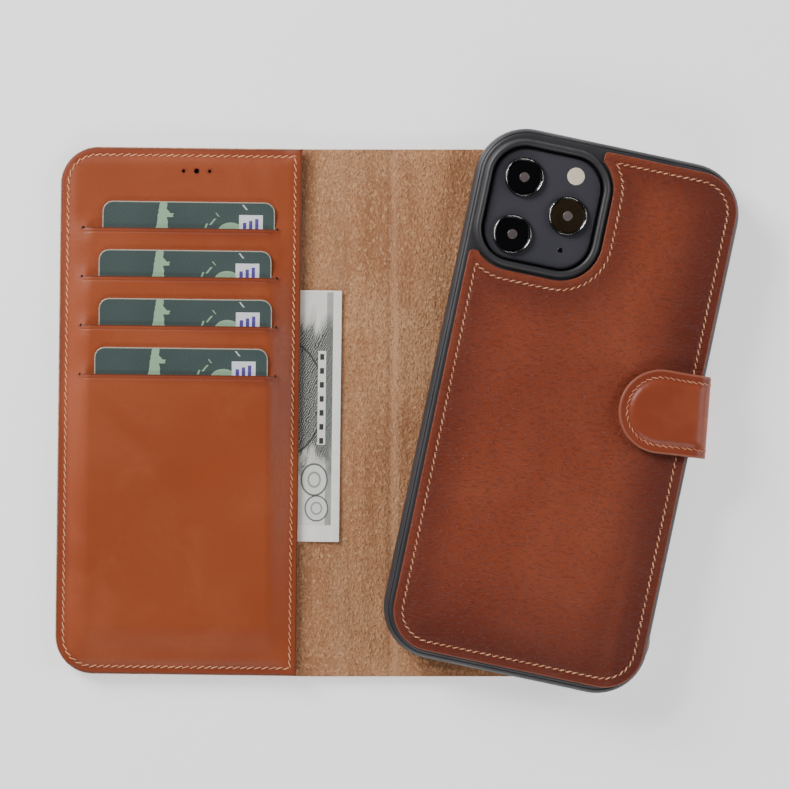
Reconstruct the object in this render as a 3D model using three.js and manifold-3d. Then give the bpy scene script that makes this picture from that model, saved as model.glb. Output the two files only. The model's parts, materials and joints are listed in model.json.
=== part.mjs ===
// Phone wallet case: an open leather folio with a card panel, a magnet strap and a detachable
// phone case that lies face down on the rear cover. Millimetres, +Z up.
// Origin: the centre of the rear cover's underside. +Y runs towards the top edge.
import * as THREE from 'three';
import * as BufferGeometryUtils from 'three/addons/utils/BufferGeometryUtils.js';
import Module from 'manifold-3d';

const wasm = await Module();
wasm.setup();

// ---- driving dimensions -------------------------------------------------------------------
const FOLIO_HEIGHT = 166;
const REAR_WIDTH = 84;
const SPINE_WIDTH = 20;
const FRONT_WIDTH = 82.5;
const FRONT_TURN = -0.7;          // degrees: the front cover lies slightly askew
const FRONT_CREASE_GAP = 1.1;     // keeps the turned front cover clear of the crease
const FOLIO_CORNER = 12;

const OUTER_LEATHER = 1.2;        // hide thickness
const CORE = 0.75;                // board, magnets and plates
const SUEDE = 0.75;
const BOND = 0.05;                // glue line between layers
const CORE_BASE = OUTER_LEATHER + BOND;
const SUEDE_BASE = CORE_BASE + CORE + BOND;
const SUEDE_TOP = SUEDE_BASE + SUEDE;
const CREASE_PLAY = 0.15;
const BOARD_INSET = 2.2;
const CREASE_BOARD_INSET = 3.3;

const CARD_WIDTH = 54;
const CARD_LENGTH = 85.6;
const CARD_THICKNESS = 0.76;
const CARD_CORNER = 3.18;
const CARD_SHOWING = 8.4;
const SLIT_LENGTH = 60;
const SLIT_PITCH = 15.3;
const FIRST_SLIT_Y = 57.3;
const SLIT_CENTRE_X = -44.3;
const CARD_OFFSETS = [2.6, 1.8, 2.2, 1.2];     // how far right of its slit's middle each card sits
const CARD_UNDERSIDES = [0.8, 2.32, 3.68, 4.86];     // above the pocket backing, at each slit
const CARD_SLOPES = [0.0091, 0.0204, 0.0317, 0.043]; // rise per millimetre towards the top edge
const CARD_CLEARANCE = 0.1;

const EARPIECE = { x: -39.5, y: 75.4, spacing: 4.1, middleRadius: 0.75, outerRadius: 0.45 };
const PANEL_LEATHER = 0.7;
const PANEL_WIDTH = 75.4;
const PANEL_EDGE = 0.9;           // height of the panel's sewn edge
const PANEL_SHOULDER = 6.5;       // width of the slope from sewn edge to raised middle
const BACKING = 0.5;
const CASH_GAP = 0.5;
const BACKING_BASE = SUEDE_TOP + CASH_GAP;
const PANEL_BASE = BACKING_BASE + BACKING + BOND;
const DIVIDER = 0.1;

const NOTE_WIDTH = 66.3;
const NOTE_HEIGHT = 79;
const NOTE_THICKNESS = 0.2;
const NOTE_SHOWING = 13;
const NOTE_CENTRE_Y = -1.0;

const CASE_WIDTH = 83.4;
const CASE_LENGTH = 168;
const CASE_CORNER = 16;
const CASE_TURN = -12;            // degrees
const CASE_X = 13.35;
const CASE_Y = 0.7;
const CASE_BASE = SUEDE_TOP + 0.4;
const SHELL_BACK_TOP = 9.2;
const SHELL_BEVEL = 1.6;
const LIP = 0.7;
const PHONE_WIDTH = 78.1;
const PHONE_LENGTH = 160.8;
const PHONE_CORNER = 12.5;
const PHONE_BACK = 8.1;
const SCREEN_THICKNESS = 0.8;
const PHONE_FIT = 0.15;
const STEEL_THICKNESS = 0.5;
const BACK_LEATHER_BASE = 9.85;
const BACK_LEATHER_TOP = 10.7;
const RIM_TOP = 11.3;
const RIM_WALL = 2.0;
const PLATEAU_TOP = 9.6;
const PLATEAU = { x: -18.95, y: 60.0, width: 33.6, length: 34.8, corner: 9.5 };
const WINDOW_GAP = 0.7;
const LENS_POSITIONS = [[-26.45, 68.3], [-26.45, 50.3], [-10.85, 59.3]];
const LENS_RING_RADIUS = 6.1;
const LENS_BORE_RADIUS = 5.2;
const LENS_RING_TOP = 10.7;
const FLASH = { x: -10.85, y: 71.9, radius: 2.7 };
const MICROPHONE = { x: -10.85, y: 48.5, radius: 0.9 };
const PORT_WINDOW = { width: 46, low: 2.0, high: 7.4 };

const STRAP_WIDTH = 26;
const STRAP_TIP_LENGTH = 28.5;
const STRAP_TURN = -8;            // degrees
const STRAP_X = 56.9;
const STRAP_Y = -1.35;
const STRAP_LINING = 0.8;
const STRAP_THICKNESS = STRAP_LINING + BOND + OUTER_LEATHER;
const STRAP_TIP_BASE = CASE_BASE + BACK_LEATHER_TOP + 0.35;
const STRAP_TONGUE = 12;
const PILLOW_RISE = 0.8;
const PILLOW_INSET = 4.6;
const MAGNET_RADIUS = 6.5;

const CORNER_STEPS = 8;
const ROUND_STEPS = 32;

const LEATHER_COLOUR = 0x9a4b28;
const DARK_LEATHER_COLOUR = 0x7d3a20;
const SUEDE_COLOUR = 0xa87f62;
const BOARD_COLOUR = 0x8c7a60;
const STEEL_COLOUR = 0x9a9ca0;
const SHELL_COLOUR = 0x2c2d30;
const CARD_COLOUR = 0x4a5a58;

const radians = THREE.MathUtils.degToRad;

// ---- solids -------------------------------------------------------------------------------
function toSolid(geometry) {
  const bare = geometry.clone();
  bare.deleteAttribute('normal');
  bare.deleteAttribute('uv');
  const merged = BufferGeometryUtils.mergeVertices(bare, 1e-5);
  return new wasm.Manifold(new wasm.Mesh({
    numProp: 3,
    vertProperties: new Float32Array(merged.attributes.position.array),
    triVerts: new Uint32Array(merged.index.array),
  }));
}

function toGeometry(solid) {
  const mesh = solid.getMesh();
  const geometry = new THREE.BufferGeometry();
  geometry.setAttribute('position', new THREE.BufferAttribute(new Float32Array(mesh.vertProperties), 3));
  geometry.setIndex(new THREE.BufferAttribute(new Uint32Array(mesh.triVerts), 1));
  geometry.computeVertexNormals();
  return geometry;
}

function material(color, roughness, metalness = 0) {
  return new THREE.MeshStandardMaterial({ color, roughness, metalness });
}

function addPiece(group, name, solid, look) {
  const geometry = solid.isBufferGeometry ? solid : toGeometry(solid);
  const mesh = new THREE.Mesh(geometry, look);
  mesh.name = name;
  group.add(mesh);
  return mesh;
}

// A rectangle from (x0, y0) to (x1, y1) whose left and right corners may have their own radii.
function outline(x0, y0, x1, y1, leftRadius, rightRadius = leftRadius) {
  const shape = new THREE.Shape();
  shape.moveTo(x0 + leftRadius, y0);
  shape.lineTo(x1 - rightRadius, y0);
  if (rightRadius > 0) shape.absarc(x1 - rightRadius, y0 + rightRadius, rightRadius, -Math.PI / 2, 0, false);
  shape.lineTo(x1, y1 - rightRadius);
  if (rightRadius > 0) shape.absarc(x1 - rightRadius, y1 - rightRadius, rightRadius, 0, Math.PI / 2, false);
  shape.lineTo(x0 + leftRadius, y1);
  if (leftRadius > 0) shape.absarc(x0 + leftRadius, y1 - leftRadius, leftRadius, Math.PI / 2, Math.PI, false);
  shape.lineTo(x0, y0 + leftRadius);
  if (leftRadius > 0) shape.absarc(x0 + leftRadius, y0 + leftRadius, leftRadius, Math.PI, 1.5 * Math.PI, false);
  return shape;
}

function centredOutline(width, length, radius, x = 0, y = 0) {
  return outline(x - width / 2, y - length / 2, x + width / 2, y + length / 2, radius);
}

function slab(shape, bottom, top) {
  const geometry = new THREE.ExtrudeGeometry(shape, {
    depth: top - bottom, bevelEnabled: false, curveSegments: CORNER_STEPS,
  });
  geometry.translate(0, 0, bottom);
  return toSolid(geometry);
}

function box(x0, y0, z0, x1, y1, z1) {
  const geometry = new THREE.BoxGeometry(x1 - x0, y1 - y0, z1 - z0);
  geometry.translate((x0 + x1) / 2, (y0 + y1) / 2, (z0 + z1) / 2);
  return toSolid(geometry);
}

function disc(x, y, radius, bottom, top) {
  const geometry = new THREE.CylinderGeometry(radius, radius, top - bottom, ROUND_STEPS);
  geometry.rotateX(Math.PI / 2);
  geometry.translate(x, y, (bottom + top) / 2);
  return toSolid(geometry);
}

// A profile drawn in (Y, Z) and drawn out along X.
function prismAlongX(points, x0, x1) {
  const shape = new THREE.Shape(points.map(([y, z]) => new THREE.Vector2(y, z)));
  const geometry = new THREE.ExtrudeGeometry(shape, { depth: x1 - x0, bevelEnabled: false });
  const turn = new THREE.Matrix4().makeBasis(
    new THREE.Vector3(0, 1, 0), new THREE.Vector3(0, 0, 1), new THREE.Vector3(1, 0, 0));
  geometry.applyMatrix4(turn);
  geometry.translate(x0, 0, 0);
  return toSolid(geometry);
}

// ---- rear cover ---------------------------------------------------------------------------
const HALF_HEIGHT = FOLIO_HEIGHT / 2;
const REAR_CREASE_X = -REAR_WIDTH / 2;
const REAR_EDGE_X = REAR_WIDTH / 2;
const FRONT_CREASE_X = REAR_CREASE_X - SPINE_WIDTH;

// Each layer stops short of a crease by its depth below the suede, so that the fold can open flat back.
function setback(layerBase) {
  return SUEDE_TOP - layerBase + CREASE_PLAY;
}

function rearLayer(base, top, inset = 0, creaseInset = setback(base)) {
  const shape = outline(REAR_CREASE_X + creaseInset, inset - HALF_HEIGHT,
    REAR_EDGE_X - inset, HALF_HEIGHT - inset, 0, FOLIO_CORNER - inset);
  return slab(shape, base, top);
}

const MAGNET_PLACES = [[-22, 62], [22, 62], [-22, -62], [22, -62]];

function buildRearCover(group) {
  addPiece(group, 'rear_outer_leather', rearLayer(0, OUTER_LEATHER), material(LEATHER_COLOUR, 0.5));
  let board = rearLayer(CORE_BASE, CORE_BASE + CORE, BOARD_INSET, CREASE_BOARD_INSET);
  const tongueHalf = STRAP_WIDTH / 2 + 6;
  const tongueRoom = box(REAR_EDGE_X - STRAP_TONGUE - 1, STRAP_Y - tongueHalf, 0,
    REAR_EDGE_X + 1, STRAP_Y + tongueHalf, SUEDE_TOP);
  board = board.subtract(tongueRoom);
  MAGNET_PLACES.forEach(([x, y], index) => {
    board = board.subtract(disc(x, y, MAGNET_RADIUS + 0.3, 0, SUEDE_TOP));
    const magnet = disc(x, y, MAGNET_RADIUS, CORE_BASE, CORE_BASE + CORE);
    addPiece(group, `rear_magnet_${index + 1}`, magnet, material(STEEL_COLOUR, 0.3, 1));
  });
  addPiece(group, 'rear_stiffener_board', board, material(BOARD_COLOUR, 0.9));
  addPiece(group, 'rear_suede_lining', rearLayer(SUEDE_BASE, SUEDE_TOP), material(SUEDE_COLOUR, 0.95));
}

// ---- spine --------------------------------------------------------------------------------
function spineLayer(base, top) {
  const shape = outline(FRONT_CREASE_X + setback(base), -HALF_HEIGHT,
    REAR_CREASE_X - setback(base), HALF_HEIGHT, 0);
  return slab(shape, base, top);
}

function buildSpine(group) {
  addPiece(group, 'spine_outer_leather', spineLayer(0, OUTER_LEATHER), material(LEATHER_COLOUR, 0.5));
  addPiece(group, 'spine_suede_lining', spineLayer(SUEDE_BASE, SUEDE_TOP), material(SUEDE_COLOUR, 0.95));
}

// ---- front cover, drawn with X = 0 on the front crease --------------------------------------
function frontLayer(base, top, inset = 0, creaseInset = setback(base)) {
  const shape = outline(inset - FRONT_WIDTH, inset - HALF_HEIGHT,
    -FRONT_CREASE_GAP - creaseInset, HALF_HEIGHT - inset, FOLIO_CORNER - inset, 0);
  return slab(shape, base, top);
}

const CLOSURE = { x: -66.5, y: 0, radius: 9 };
const PANEL_RIGHT_X = PANEL_WIDTH - FRONT_WIDTH + 0.6;
const PANEL_LEFT_X = 0.6 - FRONT_WIDTH;
const PANEL_BOTTOM_Y = 0.5 - HALF_HEIGHT;
const PANEL_TOP_Y = HALF_HEIGHT - 0.5;
const SLITS = CARD_OFFSETS.map((offset, index) => ({
  y: FIRST_SLIT_Y - index * SLIT_PITCH,
  cardX: SLIT_CENTRE_X + offset,
  underside: CARD_UNDERSIDES[index],
  slope: CARD_SLOPES[index],
}));
const POCKET_BOTTOM_Y = SLITS[3].y - CARD_LENGTH + CARD_SHOWING - 1;
const SLIT_LEFT_X = SLIT_CENTRE_X - SLIT_LENGTH / 2;
const SLIT_RIGHT_X = SLIT_CENTRE_X + SLIT_LENGTH / 2;

function cardHeight(slit, y, extra) {
  return slit.underside + slit.slope * (y - slit.y) + extra;
}

// The stepped top of the panel, or of the hollow under it, as points in (Y, Z) from top edge to bottom.
function steppedLine(extra, startY, endY, firstHeight, slitShift) {
  const points = [[startY, firstHeight], [SLITS[0].y + slitShift, firstHeight]];
  SLITS.forEach((slit, index) => {
    const nextY = index + 1 < SLITS.length ? SLITS[index + 1].y + slitShift : endY;
    points.push([slit.y + slitShift, cardHeight(slit, slit.y + slitShift, extra)]);
    points.push([nextY, cardHeight(slit, nextY, extra)]);
  });
  return points;
}

function buildCardPanel() {
  const above = CARD_THICKNESS + CARD_CLEARANCE;
  const skin = steppedLine(above + PANEL_LEATHER, PANEL_TOP_Y, POCKET_BOTTOM_Y, PANEL_LEATHER, 0);
  const skinPoints = [...skin, [PANEL_BOTTOM_Y + 3, PANEL_EDGE], [PANEL_BOTTOM_Y, PANEL_EDGE],
    [PANEL_BOTTOM_Y, 0], [PANEL_TOP_Y, 0]].reverse();
  const body = prismAlongX(skinPoints, PANEL_LEFT_X, PANEL_RIGHT_X);
  const plan = slab(outline(PANEL_LEFT_X, PANEL_BOTTOM_Y, PANEL_RIGHT_X, PANEL_TOP_Y, FOLIO_CORNER - 0.6, 0),
    -1, 20);
  const hollow = steppedLine(above, SLITS[0].y + 0.4, POCKET_BOTTOM_Y, 0.05, 0.3).slice(1);
  const hollowPoints = [...hollow, [POCKET_BOTTOM_Y, -1], [SLITS[0].y + 0.3, -1]].reverse();
  const pocket = prismAlongX(hollowPoints, SLIT_LEFT_X, SLIT_RIGHT_X);
  let panel = body.intersect(plan).subtract(pocket);
  for (const [edge, inner] of [[PANEL_LEFT_X, 1], [PANEL_RIGHT_X, -1]]) {
    const slope = new THREE.Shape();
    slope.moveTo(edge - inner, PANEL_EDGE);
    slope.lineTo(edge, PANEL_EDGE);
    slope.lineTo(edge + inner * PANEL_SHOULDER, 7);
    slope.lineTo(edge + inner * PANEL_SHOULDER, 12);
    slope.lineTo(edge - inner, 12);
    const cutter = new THREE.ExtrudeGeometry(slope, { depth: FOLIO_HEIGHT, bevelEnabled: false });
    cutter.rotateX(Math.PI / 2);
    cutter.translate(0, HALF_HEIGHT, 0);
    panel = panel.subtract(toSolid(cutter));
  }
  for (let hole = -1; hole <= 1; hole += 1) {
    const radius = hole === 0 ? EARPIECE.middleRadius : EARPIECE.outerRadius;
    panel = panel.subtract(disc(EARPIECE.x + hole * EARPIECE.spacing, EARPIECE.y, radius, -1, 5));
  }
  return panel;
}

// A thin divider hangs from the leather above each lower slit and parts two neighbouring cards.
function buildDivider(upper, lower) {
  const top = lower.y - 0.4;
  const bottom = upper.y + CARD_SHOWING - CARD_LENGTH + 1;
  const topHeight = (cardHeight(upper, top, CARD_THICKNESS) + cardHeight(lower, top, 0)) / 2;
  const bottomHeight = (cardHeight(upper, bottom, CARD_THICKNESS) + cardHeight(lower, bottom, 0)) / 2;
  return prismAlongX([[top, topHeight - DIVIDER / 2], [top, topHeight + DIVIDER / 2],
    [bottom, bottomHeight + DIVIDER / 2], [bottom, bottomHeight - DIVIDER / 2]].reverse(),
  SLIT_LEFT_X + 0.5, SLIT_RIGHT_X - 0.5);
}

function buildFrontCover(group) {
  addPiece(group, 'front_outer_leather', frontLayer(0, OUTER_LEATHER), material(LEATHER_COLOUR, 0.5));
  const closureRoom = disc(CLOSURE.x, CLOSURE.y, CLOSURE.radius + 0.3, 0, SUEDE_TOP);
  const board = frontLayer(CORE_BASE, CORE_BASE + CORE, BOARD_INSET, CREASE_BOARD_INSET);
  addPiece(group, 'front_stiffener_board', board.subtract(closureRoom), material(BOARD_COLOUR, 0.9));
  const plate = disc(CLOSURE.x, CLOSURE.y, CLOSURE.radius, CORE_BASE, CORE_BASE + CORE);
  addPiece(group, 'front_closure_plate', plate, material(STEEL_COLOUR, 0.35, 1));
  addPiece(group, 'front_suede_lining', frontLayer(SUEDE_BASE, SUEDE_TOP), material(SUEDE_COLOUR, 0.95));
  const backingShape = outline(PANEL_LEFT_X, PANEL_BOTTOM_Y, PANEL_RIGHT_X, PANEL_TOP_Y, FOLIO_CORNER - 0.6, 0);
  const backing = slab(backingShape, BACKING_BASE, BACKING_BASE + BACKING);
  addPiece(group, 'pocket_backing', backing, material(SUEDE_COLOUR, 0.95));

  const pockets = new THREE.Group();
  pockets.position.z = PANEL_BASE;
  group.add(pockets);
  addPiece(pockets, 'card_panel', buildCardPanel(), material(LEATHER_COLOUR, 0.45));
  for (let index = 0; index < 3; index += 1) {
    const divider = buildDivider(SLITS[index], SLITS[index + 1]);
    addPiece(pockets, `pocket_divider_${index + 1}`, divider, material(SUEDE_COLOUR, 0.95));
  }
  SLITS.forEach((slit, index) => {
    const card = slab(centredOutline(CARD_WIDTH, CARD_LENGTH, CARD_CORNER), 0, CARD_THICKNESS);
    const mesh = addPiece(pockets, `card_${index + 1}`, card, material(CARD_COLOUR, 0.35));
    const centreY = slit.y + CARD_SHOWING - CARD_LENGTH / 2;
    mesh.position.set(slit.cardX, centreY, cardHeight(slit, centreY, 0));
    mesh.rotation.x = Math.atan(slit.slope);
  });
  const noteRight = PANEL_RIGHT_X + NOTE_SHOWING;
  const noteShape = outline(noteRight - NOTE_WIDTH, NOTE_CENTRE_Y - NOTE_HEIGHT / 2,
    noteRight, NOTE_CENTRE_Y + NOTE_HEIGHT / 2, 0);
  const note = slab(noteShape, SUEDE_TOP + 0.1, SUEDE_TOP + 0.1 + NOTE_THICKNESS);
  addPiece(group, 'banknote', note, material(0xd8d8d0, 0.8));
}

// ---- strap, drawn with X outwards from the case's side and Y along the fold --------------------
const HALF_STRAP = STRAP_WIDTH / 2;

function strapTipOutline(inset, foldX) {
  const radius = HALF_STRAP - inset;
  const centreX = STRAP_THICKNESS - STRAP_TIP_LENGTH + HALF_STRAP;
  const shape = new THREE.Shape();
  shape.moveTo(foldX, -radius);
  shape.lineTo(foldX, radius);
  shape.lineTo(centreX, radius);
  shape.absarc(centreX, 0, radius, Math.PI / 2, 1.5 * Math.PI, false);
  return shape;
}

function buildStrapBase(group) {
  const outside = box(-30, -HALF_STRAP, 0, STRAP_THICKNESS, HALF_STRAP, STRAP_THICKNESS);
  const tongue = box(-40, -HALF_STRAP, CORE_BASE + 0.05, STRAP_THICKNESS, HALF_STRAP, CORE_BASE + CORE - 0.05);
  const turned = (solid) => solid.rotate([0, 0, STRAP_TURN]).translate([STRAP_X, STRAP_Y, 0]);
  const rearEdge = REAR_EDGE_X + 0.3;
  const beyondCover = box(rearEdge, -50, -1, 80, 50, 10);
  const insideCover = box(REAR_EDGE_X - STRAP_TONGUE, -50, -1, 80, 50, 10);
  const base = turned(outside).intersect(beyondCover).add(turned(tongue).intersect(insideCover));
  addPiece(group, 'strap_base', base, material(LEATHER_COLOUR, 0.5));
}

function buildStrap(sideGroup, tipGroup) {
  const sideBottom = STRAP_THICKNESS + 0.05;
  const sideTop = STRAP_TIP_BASE - 0.05;
  const lining = box(0, -HALF_STRAP, sideBottom, STRAP_LINING, HALF_STRAP, sideTop);
  const leather = box(STRAP_LINING + BOND, -HALF_STRAP, sideBottom, STRAP_THICKNESS, HALF_STRAP, sideTop);
  addPiece(sideGroup, 'strap_side_lining', lining, material(LEATHER_COLOUR, 0.6));
  addPiece(sideGroup, 'strap_side_leather', leather, material(LEATHER_COLOUR, 0.45));

  const liningTop = STRAP_TIP_BASE + STRAP_LINING;
  const leatherBase = liningTop + BOND;
  const leatherTop = leatherBase + OUTER_LEATHER;
  const magnetX = STRAP_THICKNESS - STRAP_TIP_LENGTH + HALF_STRAP + 1;
  const tipLining = slab(strapTipOutline(0, STRAP_THICKNESS), STRAP_TIP_BASE, liningTop);
  addPiece(tipGroup, 'strap_tip_lining', tipLining, material(LEATHER_COLOUR, 0.6));
  const pillow = slab(strapTipOutline(PILLOW_INSET, STRAP_THICKNESS - 5), leatherTop - 0.1, leatherTop + PILLOW_RISE);
  const magnetRoom = disc(magnetX, 0, MAGNET_RADIUS + 0.3, leatherBase - 1, leatherBase + 1.15);
  const tip = slab(strapTipOutline(0, STRAP_THICKNESS), leatherBase, leatherTop).add(pillow).subtract(magnetRoom);
  addPiece(tipGroup, 'strap_tip_leather', tip, material(LEATHER_COLOUR, 0.4));
  const magnet = disc(magnetX, 0, MAGNET_RADIUS, leatherBase + 0.05, leatherBase + 1.05);
  addPiece(tipGroup, 'strap_magnet', magnet, material(STEEL_COLOUR, 0.3, 1));
}

// ---- phone case, drawn with its centre at the origin and its lip at Z = 0 --------------------
const HALF_CASE_WIDTH = CASE_WIDTH / 2;
const BUTTONS = [
  { name: 'side_button', side: -1, y: 24, length: 19 },
  { name: 'volume_up_button', side: 1, y: 36, length: 10 },
  { name: 'volume_down_button', side: 1, y: 22.5, length: 10 },
];
const BUTTON_HEIGHT = 3.2;
const BUTTON_GAP = 0.3;
const BUTTON_Z = 4.9;
const BUTTON_INNER = PHONE_WIDTH / 2 + 0.75;
const SWITCH = { y: 51, window: 8, length: 4.5, height: 2.4 };
const CASE_LEATHER = { left: -38.5, right: 40.3, bottom: -81.3, top: 81.3, corner: 12.5 };

function plateauOutline(grow) {
  return centredOutline(PLATEAU.width + 2 * grow, PLATEAU.length + 2 * grow, PLATEAU.corner + grow,
    PLATEAU.x, PLATEAU.y);
}

function sideWindow(side, y, length, height) {
  const inner = PHONE_WIDTH / 2 - 1;
  const x0 = side > 0 ? inner : -HALF_CASE_WIDTH - 1;
  const x1 = side > 0 ? HALF_CASE_WIDTH + 1 : -inner;
  return box(x0, y - length / 2, BUTTON_Z - height / 2, x1, y + length / 2, BUTTON_Z + height / 2);
}

function buildShell() {
  const rounded = new THREE.ExtrudeGeometry(
    centredOutline(CASE_WIDTH - 2 * SHELL_BEVEL, CASE_LENGTH - 2 * SHELL_BEVEL, CASE_CORNER - SHELL_BEVEL),
    { depth: SHELL_BACK_TOP - 2 * SHELL_BEVEL, bevelEnabled: true, bevelThickness: SHELL_BEVEL,
      bevelSize: SHELL_BEVEL, bevelSegments: 3, curveSegments: CORNER_STEPS });
  rounded.translate(0, 0, SHELL_BEVEL);
  const fit = 2 * PHONE_FIT;
  const cavity = slab(centredOutline(PHONE_WIDTH + fit, PHONE_LENGTH + fit, PHONE_CORNER + PHONE_FIT),
    LIP, PHONE_BACK + 0.1);
  const screenOpening = slab(centredOutline(PHONE_WIDTH - 2.4, PHONE_LENGTH - 2.4, PHONE_CORNER - 1.2), -1, LIP + 1);
  const portWindow = box(-PORT_WINDOW.width / 2, -CASE_LENGTH / 2 - 1, PORT_WINDOW.low,
    PORT_WINDOW.width / 2, -PHONE_LENGTH / 2 + 1, PORT_WINDOW.high);
  const rim = slab(plateauOutline(WINDOW_GAP + RIM_WALL), SHELL_BACK_TOP - 1, RIM_TOP);
  let shell = toSolid(rounded).add(rim).subtract(cavity).subtract(screenOpening).subtract(portWindow);
  shell = shell.subtract(slab(plateauOutline(WINDOW_GAP), PHONE_BACK - 1, RIM_TOP + 1));
  for (const button of BUTTONS) {
    shell = shell.subtract(sideWindow(button.side, button.y, button.length + 2 * BUTTON_GAP,
      BUTTON_HEIGHT + 2 * BUTTON_GAP));
  }
  return shell.subtract(sideWindow(1, SWITCH.y, SWITCH.window, 4.4));
}

function buildPhone(group) {
  const screenTop = LIP + 0.05 + SCREEN_THICKNESS;
  const screen = slab(centredOutline(PHONE_WIDTH - 1, PHONE_LENGTH - 1, PHONE_CORNER - 0.5), LIP + 0.05, screenTop);
  addPiece(group, 'phone_screen', screen, material(0x08090b, 0.1));
  const body = slab(centredOutline(PHONE_WIDTH, PHONE_LENGTH, PHONE_CORNER), screenTop + 0.05, PHONE_BACK);
  const plateau = slab(plateauOutline(0), PHONE_BACK + 0.05, PLATEAU_TOP);
  addPiece(group, 'phone_body', body, material(0x3a3b40, 0.35, 0.6));
  let plate = plateau;
  LENS_POSITIONS.forEach(([x, y], index) => {
    plate = plate.subtract(disc(x, y, LENS_RING_RADIUS + 0.1, PHONE_BACK + 0.6, PLATEAU_TOP + 1));
    const ring = disc(x, y, LENS_RING_RADIUS, PHONE_BACK + 0.7, LENS_RING_TOP);
    const bore = disc(x, y, LENS_BORE_RADIUS, PHONE_BACK + 1.0, LENS_RING_TOP + 1);
    addPiece(group, `lens_ring_${index + 1}`, ring.subtract(bore), material(0x8a8a88, 0.2, 1));
    const glass = disc(x, y, LENS_BORE_RADIUS - 0.1, PHONE_BACK + 1.1, LENS_RING_TOP - 0.25);
    addPiece(group, `lens_glass_${index + 1}`, glass, material(0x08080a, 0.05));
  });
  plate = plate.subtract(disc(FLASH.x, FLASH.y, FLASH.radius + 0.1, PHONE_BACK + 0.8, PLATEAU_TOP + 1));
  const flash = disc(FLASH.x, FLASH.y, FLASH.radius, PHONE_BACK + 0.9, PLATEAU_TOP);
  addPiece(group, 'camera_flash', flash, material(0xe8e0c8, 0.3));
  plate = plate.subtract(disc(MICROPHONE.x, MICROPHONE.y, MICROPHONE.radius + 0.1, PHONE_BACK + 0.8, PLATEAU_TOP + 1));
  const microphone = disc(MICROPHONE.x, MICROPHONE.y, MICROPHONE.radius, PHONE_BACK + 0.9, PLATEAU_TOP - 0.1);
  addPiece(group, 'microphone_grille', microphone, material(0x0c0c0e, 0.6));
  addPiece(group, 'camera_plateau', plate, material(0x42434b, 0.12));
}

function buildCaseBack(group) {
  const leatherArea = outline(CASE_LEATHER.left, CASE_LEATHER.bottom, CASE_LEATHER.right, CASE_LEATHER.top,
    CASE_LEATHER.corner);
  const notchRim = plateauOutline(WINDOW_GAP + RIM_WALL + 0.35);
  const corner = box(-60, PLATEAU.y - 12, 0, PLATEAU.x + 15, 100, 20);
  const cornerLeft = box(-60, PLATEAU.y - PLATEAU.length / 2 + 0.4, 0, PLATEAU.x, 100, 20);
  const notch = slab(notchRim, 0, 20).add(corner).add(cornerLeft);
  const leather = slab(leatherArea, BACK_LEATHER_BASE, BACK_LEATHER_TOP).subtract(notch);
  addPiece(group, 'case_back_leather', leather, material(DARK_LEATHER_COLOUR, 0.35));
  const steel = slab(centredOutline(58, 92, 6, 0, -18), SHELL_BACK_TOP + 0.08,
    SHELL_BACK_TOP + 0.08 + STEEL_THICKNESS);
  addPiece(group, 'case_steel_plate', steel, material(STEEL_COLOUR, 0.4, 1));
}

function buildCase(group) {
  addPiece(group, 'case_shell', buildShell(), material(SHELL_COLOUR, 0.6));
  buildPhone(group);
  buildCaseBack(group);
  for (const button of BUTTONS) {
    const inner = button.side * BUTTON_INNER;
    const outer = button.side * HALF_CASE_WIDTH;
    const cap = box(Math.min(inner, outer), button.y - button.length / 2, BUTTON_Z - BUTTON_HEIGHT / 2,
      Math.max(inner, outer), button.y + button.length / 2, BUTTON_Z + BUTTON_HEIGHT / 2);
    addPiece(group, button.name, cap, material(SHELL_COLOUR, 0.6));
  }
  const toggle = box(PHONE_WIDTH / 2 + 0.1, SWITCH.y - SWITCH.length / 2 - 0.5, BUTTON_Z - SWITCH.height / 2,
    PHONE_WIDTH / 2 + 1.1, SWITCH.y + SWITCH.length / 2 - 0.5, BUTTON_Z + SWITCH.height / 2);
  addPiece(group, 'ring_switch', toggle, material(0x5a5b60, 0.3, 0.8));
}

// ---- assembly -------------------------------------------------------------------------------
const walletCase = new THREE.Group();

buildRearCover(walletCase);
buildSpine(walletCase);
buildStrapBase(walletCase);

const frontCover = new THREE.Group();
frontCover.position.x = FRONT_CREASE_X;
frontCover.rotation.z = radians(FRONT_TURN);
buildFrontCover(frontCover);
walletCase.add(frontCover);

const strap = new THREE.Group();
strap.position.set(STRAP_X, STRAP_Y, 0);
strap.rotation.z = radians(STRAP_TURN);
buildStrap(strap, strap);
walletCase.add(strap);

const phoneCase = new THREE.Group();
phoneCase.position.set(CASE_X, CASE_Y, CASE_BASE);
phoneCase.rotation.z = radians(CASE_TURN);
buildCase(phoneCase);
walletCase.add(phoneCase);

export default walletCase;
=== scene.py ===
"""Looks of the phone wallet case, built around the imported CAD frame.

Sizes inside this script are millimetres; build() turns them into metres.
"""
import json
import math

import bmesh
import bpy
import numpy as np
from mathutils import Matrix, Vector
from mathutils.geometry import delaunay_2d_cdt


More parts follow.
